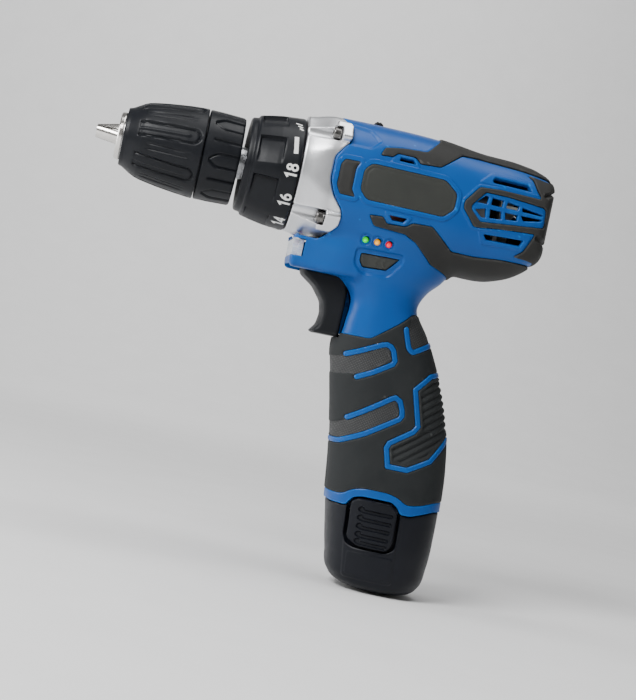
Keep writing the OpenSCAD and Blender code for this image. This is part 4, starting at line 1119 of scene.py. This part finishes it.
def lathe_piece(name, profile, count, carve, material, body, replaces, step=0.45):
    """A turned piece from (x, radius) points, less carve(x, r, angle)."""
    rows = np.array(spaced(profile, step))
    angle = np.arange(count) * 2 * math.pi / count
    x, a = np.meshgrid(rows[:, 0], angle, indexing="ij")
    r = np.repeat(rows[:, 1:2], count, axis=1)
    if carve:
        r = r - carve(x, r, a)
    verts = turned(x, r, a).reshape(-1, 3)
    i, j = np.meshgrid(np.arange(len(rows) - 1), np.arange(count), indexing="ij")
    k = (j + 1) % count
    corners = [i * count + j, (i + 1) * count + j, (i + 1) * count + k, i * count + k]
    faces = np.stack(corners, -1).reshape(-1, 4)
    mesh_object(name, (verts, faces), material, body, replaces)


def around(angle, centre, r):
    """Arc length from a centre angle, the short way round."""
    return ((angle - centre + math.pi) % (2 * math.pi) - math.pi) * r


FLUTES = 7               # on either sleeve
FLUTE_STEP = 2 * math.pi / FLUTES
FLUTE_TURN = math.radians(12.9)     # where the first one is
POCKETS = 8              # in the torque collar


def front_sleeve_carve(x, r, angle):
    """Long flutes, each a sunk tongue with a deeper line round it, and narrow dips between them."""
    depth = np.zeros_like(x)
    for k in range(FLUTES):
        s = around(angle, FLUTE_TURN + FLUTE_STEP * k, r)
        tongue = np.hypot(np.maximum(x + 59.6, 0), s) - 3.1
        start = smooth_step((x + 82.6) / 0.9)
        depth = np.maximum(depth, start * (0.45 * smooth_step(-tongue / 0.5)
                                           + 0.95 * (1 - smooth_step(np.abs(tongue) / 0.75))))
        rib = 1 - smooth_step(np.abs(s) / 0.9)
        depth = depth - 0.35 * rib * start * smooth_step((-60 - x) / 2)
        s = around(angle, FLUTE_TURN + FLUTE_STEP * (k + 0.5), r)
        along = smooth_step((x + 80) / 4) * smooth_step((-58 - x) / 4)
        line = 1 - smooth_step(np.abs(np.abs(s) - 1.1) / 0.5)
        depth = np.maximum(depth, along * (0.2 * (1 - smooth_step(np.abs(s) / 2)) + 0.35 * line))
    return depth * (r > 14.3)


def rear_sleeve_carve(x, r, angle):
    """Open-ended flutes pointed towards the front, half a step from those of the front sleeve."""
    depth = np.zeros_like(x)
    for k in range(FLUTES):
        s = around(angle, FLUTE_TURN + FLUTE_STEP * (k + 0.55), r)
        half = 3.0 * smooth_step((x + 52) / 5.5) ** 0.7
        edge = np.abs(s) - half
        depth = np.maximum(depth, smooth_step((x + 51.6) / 0.8) * (
            0.4 * smooth_step(-edge / 0.5) + 0.9 * (1 - smooth_step(np.abs(edge) / 0.75))))
        s = around(angle, FLUTE_TURN + FLUTE_STEP * (k + 0.05), r)
        cut = np.hypot(np.minimum(x + 49.8, 0), s)
        depth = np.maximum(depth, 0.85 * (1 - smooth_step(cut / 1.0)))
    return depth * (r > 17)


def collar_carve(x, r, angle):
    """Ratchet-shaped finger pockets: steep at their upper side and rear end, running out at the other."""
    depth = np.zeros_like(x)
    for k in range(POCKETS):
        s = around(angle, math.radians(31.5 + 360 / POCKETS * k), r)
        across = smooth_step(-s / 0.5) * np.clip((s + 12.5) / 12.0, 0, 1) ** 0.8
        ends = smooth_step((x + 31.8) / 0.6) * smooth_step((-20.8 - x) / 0.6)
        depth = np.maximum(depth, 1.7 * across * ends)
    return depth * (r > 20)


def chuck_pieces():
    lathe_piece("front_sleeve_skin", [
        (-80.4, 14.0), (-87.9, 11.6), (-88.2, 11.8), (-88.2, 12.1), (-87.9, 12.4), (-86.6, 12.8), (-85.2, 13.6),
        (-83.4, 14.7), (-82, 15.5), (-80.4, 16.25), (-78, 16.9), (-74, 17.6), (-70, 18.2), (-66, 18.7),
        (-62, 19.15), (-58, 19.45), (-54.9, 19.6), (-54.55, 19.3), (-54.5, 16.7), (-60, 16.6)],
        360, front_sleeve_carve, CHUCK_PLASTIC, "chuck_sleeve", ("front_sleeve",))
    lathe_piece("rear_sleeve_skin", [
        (-55.2, 16.2), (-55.2, 16.5), (-54.1, 16.5), (-54, 19.1), (-53.7, 19.5), (-47.5, 19.45), (-39.3, 19.1),
        (-38.5, 18.6), (-38.3, 16.3), (-46, 16.2)],
        360, rear_sleeve_carve, CHUCK_PLASTIC, "chuck", ("rear_sleeve",))
    lathe_piece("nose_ring_skin", [
        (-88.35, 8.9), (-90.4, 8.9), (-90.8, 9.2), (-90.75, 9.7), (-90.3, 10.15), (-88.9, 10.3),
        (-88.35, 10.1)], 128, None, BRIGHT, "chuck", ("nose_ring",), step=0.3)
    lathe_piece("collar_skin", [
        (-32, 14.2), (-34.1, 14.2), (-35.9, 17.6), (-36, 18.2), (-36, 19.8), (-35.6, 20.3), (-35, 20.5),
        (-33.6, 20.7), (-33.2, 20.9), (-32.8, 21.7), (-32.3, 22.0), (-28, 22.95), (-23, 23.85), (-18, 24.35),
        (-14.6, 24.65), (-13.8, 24.6), (-13.3, 24.2), (-13.2, 23.6), (-13.2, 21.6), (-32, 20.8), (-32, 14.2)],
        480, collar_carve, CHUCK_PLASTIC, "torque_collar", ("torque_collar",))


# ---------------- numerals of the torque collar

def arc(cx, cy, rx, ry, start, stop, n):
    """Points along part of an ellipse, angles in degrees."""
    a = np.radians(np.linspace(start, stop, n))
    return [(cx + rx * math.cos(t), cy + ry * math.sin(t)) for t in a]


# Strokes in a box 0.6 wide and 1 high
DIGITS = {
    "0": [arc(0.3, 0.5, 0.24, 0.43, 0, 360, 25)],
    "1": [[(0.12, 0.72), (0.36, 0.93), (0.36, 0.0)]],
    "2": [arc(0.3, 0.69, 0.22, 0.24, 160, -35, 12) + [(0.08, 0.07), (0.56, 0.07)]],
    "4": [[(0.42, 0.0), (0.42, 0.9), (0.04, 0.26), (0.58, 0.26)]],
    "6": [arc(0.3, 0.3, 0.22, 0.24, 0, 360, 21), arc(0.56, 0.34, 0.49, 0.6, 110, 178, 10)],
    "8": [arc(0.3, 0.27, 0.23, 0.22, 0, 360, 21), arc(0.3, 0.71, 0.19, 0.19, 0, 360, 19)],
}


def stroke_strip(points, width):
    """Left and right edge of a line of this width, mitred."""
    p = np.array(points, float)
    closed = np.allclose(p[0], p[-1])
    before, after = np.roll(p, 1, 0), np.roll(p, -1, 0)
    if closed:
        before[0], after[-1] = p[-2], p[1]
    else:
        before[0], after[-1] = 2 * p[0] - p[1], 2 * p[-1] - p[-2]
    d1, d2 = p - before, after - p
    d1 /= np.linalg.norm(d1, axis=1)[:, None]
    d2 /= np.linalg.norm(d2, axis=1)[:, None]
    n1, n2 = d1[:, ::-1] * [-1, 1], d2[:, ::-1] * [-1, 1]
    n = n1 + n2
    n /= np.maximum((n * n1).sum(axis=1), 0.4)[:, None]
    return p + n * width / 2, p - n * width / 2


INK_HEIGHT = 0.035       # above the collar


def collar_print():
    """White numerals and marks printed on the collar, reading upward."""
    verts, faces = [], []

    def on_collar(u, v, angle):
        x = foot_x - v
        r = np.interp(x, [-18, -14.6, -13.8], [24.35, 24.65, 24.6]) + INK_HEIGHT
        return turned(x, r, angle + u / r)

    def add(points, width, angle):
        fine = np.array(spaced([tuple(p) for p in points], 0.5))
        left, right = stroke_strip(fine, width)
        start = sum(len(v) for v in verts)
        n = len(fine)
        verts.extend(on_collar(*edge.T, angle) for edge in (left, right))
        faces.extend((start + i, start + n + i, start + n + i + 1, start + i + 1) for i in range(n - 1))

    high, foot_x = 5.1, -14.0
    numbers = ["18", "16", "14", "12", "10", "8", "6", "4", "2"]
    for k, number in enumerate(numbers):
        angle = math.radians(-3.5 - 30.2 * k)
        for j, digit in enumerate(number):
            shift = (j - (len(number) - 1) / 2) * 0.66 * high - 0.3 * high
            for line in DIGITS[digit]:
                add([(px * high + shift, py * high) for px, py in line], 0.92, angle)
    add([(-4.1, 2.2), (4.1, 3.0)], 1.8, math.radians(24.2))
    for u, low, up in ((-2.0, 0.6, 2.2), (-0.2, 1.0, 3.0), (1.8, 1.2, 4.0)):
        add([(u, low), (u + 1.1, up)], 0.8, math.radians(49))
    mesh_object("collar_print", (np.concatenate(verts), faces), INK, "torque_collar")


# ---------------- trigger, speed switch, work light

TRIGGER = area([
    [-2.4, 131.2], [15.6, 131.2], [18.4, 128.8], [19.6, 124.5], [19.8, 118], [19.6, 112], [19.6, 104.75],
    [8, 104.6], [7, 105.2], [9.5, 108.5], [10.3, 113.5], [9.2, 118.5], [4.6, 124.2], [-1.6, 128.4]], 1.2)


def trigger_field(x, y, z):
    """The trigger, its front face crowned."""
    crowned = TRIGGER(x - 0.022 * y * y * smooth_step((16 - x) / 8), z)
    return smooth_max(crowned, np.abs(y) - 7.9, 1.6)


def rounded_box(low, high, k):
    """Field of a box with rounded edges."""
    def field(x, y, z):
        parts = [np.abs(v - (a + b) / 2) - (b - a) / 2 for v, a, b in zip((x, y, z), low, high)]
        return smooth_max(smooth_max(parts[0], parts[1], k), parts[2], k)
    return field


def switch_field(x, y, z):
    """The speed switch: a sliding plate and its grooved nub, which leans back."""
    plate = rounded_box([9, -4, 194.6], [22, 4, 196.8], 0.8)(x, y, z)
    lean = (z - 196) * 0.45
    nub = rounded_box([15.2, -3.6, 195], [21.4, 3.6, 200.2], 1.2)(x, y, z)
    nub = smooth_max(nub, smooth_max(15.0 + lean - x, x - 21.6 + lean, 0.4), 0.6)
    grooves = 0.22 * (0.5 + 0.5 * np.cos((x - 18.3) * 2 * math.pi / 1.3)) * smooth_step((z - 199.3) / 0.4)
    return smooth_min(plate, nub + grooves, 0.5)


def control_pieces():
    solid_piece("trigger_skin", trigger_field, [-4.5, -10, 102.5], [21.5, 10, 133], 0.7, TRIGGER_PLASTIC,
                "trigger", ("trigger",), sharp=60)
    solid_piece("speed_switch_skin", switch_field, [8, -5, 193.5], [23, 5, 201], 0.35, DARK_PLASTIC,
                "speed_selector", ("speed_switch",), sharp=60)
    solid_piece("direction_button_bar", rounded_box([19, -6, 134.7], [38, 6, 142.7], 0.8), [18, -7, 133.7],
                [39, 7, 143.7], 0.8, DARK_PLASTIC, "direction_button", ("direction_button",),
                sharp=60)


# ---------------- battery

LATCH_GAP = area([
    [37, 60], [36.9, 36], [38, 23], [39.7, 19.4], [43, 18.2], [56.8, 18.2], [60.1, 20.2], [60.6, 23],
    [59.9, 36], [59.8, 60]], 1.2)
LATCH = area([
    [38.5, 37.5], [41, 39.4], [55, 39.4], [58.5, 36.5], [59, 23], [57, 19.2], [44.5, 19.2], [39.6, 22]], 1.6)
CASE_BAND = area([
    [37.2, 60], [37.4, 30], [41.2, 5.2], [62.3, 5.2], [61, 20], [60.3, 60]], 1.5)
CASE_PANEL = area([[41.2, 16.5], [42.2, 7], [61.4, 6.6], [60.4, 16.5]], 0.8)
LATCH_RIBS = union(*[line_distance(rounded([
    [43.2 + 0.25 * k, z + 1.1], [42.7 + 0.25 * k, z + 0.5], [43.8 + 0.25 * k, z], [56.4, z - 0.2]], 0.6), 1.15)
    for k, z in enumerate((34.4, 30.9, 27.4, 23.9, 20.9))])
FOOT_GAP = 0.4           # between the case and the shells
SIDE_Y = 12              # further out than this is the case's side
WELL_DEPTH = 3.2         # of the recess behind a latch


def case_field(x, y, z):
    """The battery's case below the shells."""
    side = upright_field(x, y, np.clip(z, 0.0, 41), CASE_ROWS)
    solid = smooth_max(side, 0.003 * (x - 60) ** 2 - z, 6)
    return smooth_max(solid, FOOT_EDGE(x, z) + FOOT_GAP, 0.6)


def case_rise(x, y, z):
    on_side = smooth_step((np.abs(y) - 14) / 2)
    rise = 0.4 * smooth_step((0.4 - CASE_BAND(x, z)) / 0.9) * on_side * smooth_step((z - 4) / 2)
    rise += 0.22 * smooth_step((0.15 - CASE_PANEL(x, z)) / 0.3) * on_side
    return rise - edge_drop(LATCH_GAP(x, z), 0.4, 0.3) * on_side


def latch_rise(x, y, z):
    return 0.95 - edge_drop(-LATCH(x, z), 0.9, 0.8) - 0.85 * smooth_step((0.35 - LATCH_RIBS(x, z)) / 0.5)


GRIP_LEAN = math.radians(7)
CELL_TRIANGLE = inside_distance([[5, -9], [5, 9], [-8.59, 0]])


def stem_field(x, y, z):
    """The stem round the three cells, and its narrower head, in the leaning frame of the handle."""
    across = (x - 57) * math.cos(GRIP_LEAN) + (z - 3) * math.sin(GRIP_LEAN)
    along = (z - 3) * math.cos(GRIP_LEAN) - (x - 57) * math.sin(GRIP_LEAN)
    near = CELL_TRIANGLE(across, y)
    wide = smooth_max(near - 9.6, along - 72, 1.2)
    head = smooth_max(near - 6, along - 81, 1.2)
    return smooth_max(smooth_min(wide, head, 1.0), 24 - z, 0.5)


def battery_pieces():
    skin = Skin(case_field, [27.5, -24.5, -1.5], [82, 1.2, 42], 1.1, finer=1)
    skin.cut(middle_mark, [0.0])

    def side_only(outline):
        return lambda x, y, z: np.where(-y > SIDE_Y, outline(x, z), 5.0)

    for outline, levels in ((LATCH_GAP, [0.0, 0.4]), (LATCH, [-0.9, -0.45, 0.0]), (CASE_BAND, [-0.5, 0.4]),
                            (CASE_PANEL, [-0.15, 0.15]), (LATCH_RIBS, [-0.15, 0.35])):
        skin.cut(side_only(outline), levels)
    skin.keep(skin.centres()[:, 1] < 0)
    x, y, z = skin.centres().T
    on_side = -y > SIDE_Y
    gap = on_side & (LATCH_GAP(x, z) < 0)
    under_shells = FOOT_EDGE(x, z) > -FOOT_GAP - 0.25
    half = patch(skin, ~gap, case_rise, 2.2, open_middle=True)
    weld_both_sides("battery_shell", half, CASE_PLASTIC, "battery", ("battery_case",))
    latch = patch(skin, on_side & (LATCH(x, z) < 0), latch_rise, 1.2)
    well = patch(skin, gap & ~under_shells, lambda x, y, z: -WELL_DEPTH + 0 * x, 0.1)
    for side, body, mirror in (("left", "latch_near", False), ("right", "latch_far", True)):
        mesh_object("latch_%s_skin" % side, latch, CASE_PLASTIC, body, ("latch_" + side,),
                    mirror=mirror)
        mesh_object("latch_well_" + side, well, CASE_PLASTIC, "battery", mirror=mirror)
    solid_piece("battery_stem", stem_field, [28, -21, 22], [80, 21, 88], 1.1, CASE_PLASTIC, "battery",
                ("battery_case",))


# ---------------- camera, light and floor

YAW, ELEVATION, ROLL = math.radians(7), math.radians(-1), math.radians(12.1)
CAMERA_DISTANCE = 700
CAMERA_TARGET = Vector((13.2, 0, 97.5))
LENS = 82.6
WORLD_LIGHT = 0.22
# Name, place, what it faces, size, power
LIGHTS = [
    ("key", (-0.55, -0.65, 0.75), (0, 0, 0.12), 0.5, 13), ("top", (0.1, -0.1, 1.1), (0, 0, 0.1), 0.7, 5.5),
    ("edge", (-0.9, 0.2, 0.25), (0, 0, 0.1), 0.5, 4.5), ("wash", (0, 1.3, 1.4), (0, 2.5, 0.3), 1.2, 20)]


def place_camera():
    data = bpy.data.cameras.new("camera")
    data.lens, data.sensor_width = LENS, 36
    data.clip_start, data.clip_end = 0.05, 20
    camera = bpy.data.objects.new("camera", data)
    bpy.context.scene.collection.objects.link(camera)
    level = math.cos(ELEVATION)
    back = Vector((-math.sin(YAW) * level, -math.cos(YAW) * level, math.sin(ELEVATION)))
    right = Vector((0, 0, 1)).cross(back).normalized()
    up = back.cross(right)
    turned_right = right * math.cos(ROLL) + up * math.sin(ROLL)
    turned_up = up * math.cos(ROLL) - right * math.sin(ROLL)
    axes = Matrix((turned_right, turned_up, back)).transposed().to_4x4()
    camera.matrix_world = Matrix.Translation((CAMERA_TARGET + back * CAMERA_DISTANCE) * MM) @ axes
    bpy.context.scene.camera = camera


def soft_light(name, place, aim, size, power):
    data = bpy.data.lights.new(name, "AREA")
    data.shape, data.size, data.energy = "DISK", size, power
    light = bpy.data.objects.new(name, data)
    bpy.context.scene.collection.objects.link(light)
    light.location = place
    light.rotation_mode = "QUATERNION"
    light.rotation_quaternion = (Vector(aim) - Vector(place)).to_track_quat("-Z", "Y")


def studio():
    """Floor and backdrop in one sheet, and the lights."""
    turns = [math.radians(a) for a in range(0, 91, 6)]
    bend = [(1.7 + 0.8 * math.sin(a), 0.8 - 0.8 * math.cos(a)) for a in turns]
    line = [(-3.0, 0.0)] + bend + [(2.5, 3.0)]
    mesh = bpy.data.meshes.new("floor")
    verts = [(x, y, z) for y, z in line for x in (-4.0, 4.0)]
    mesh.from_pydata(verts, [], [(2 * i, 2 * i + 1, 2 * i + 3, 2 * i + 2) for i in range(len(line) - 1)])
    mesh.polygons.foreach_set("use_smooth", [True] * len(mesh.polygons))
    mesh.materials.append(painted_floor())
    floor = bpy.data.objects.new("floor", mesh)
    floor.location = (0, 0, -0.0005)
    bpy.context.scene.collection.objects.link(floor)
    world = bpy.data.worlds.new("studio")
    world.use_nodes = True
    background = world.node_tree.nodes["Background"]
    background.inputs["Color"].default_value = (1, 1, 1, 1)
    background.inputs["Strength"].default_value = WORLD_LIGHT
    bpy.context.scene.world = world
    for light in LIGHTS:
        soft_light(*light)


dress_cad_nodes()
house_pieces(cut_housing())
body_screw_pieces()
head_pieces()
chuck_pieces()
collar_print()
control_pieces()
battery_pieces()
place_camera()
studio()
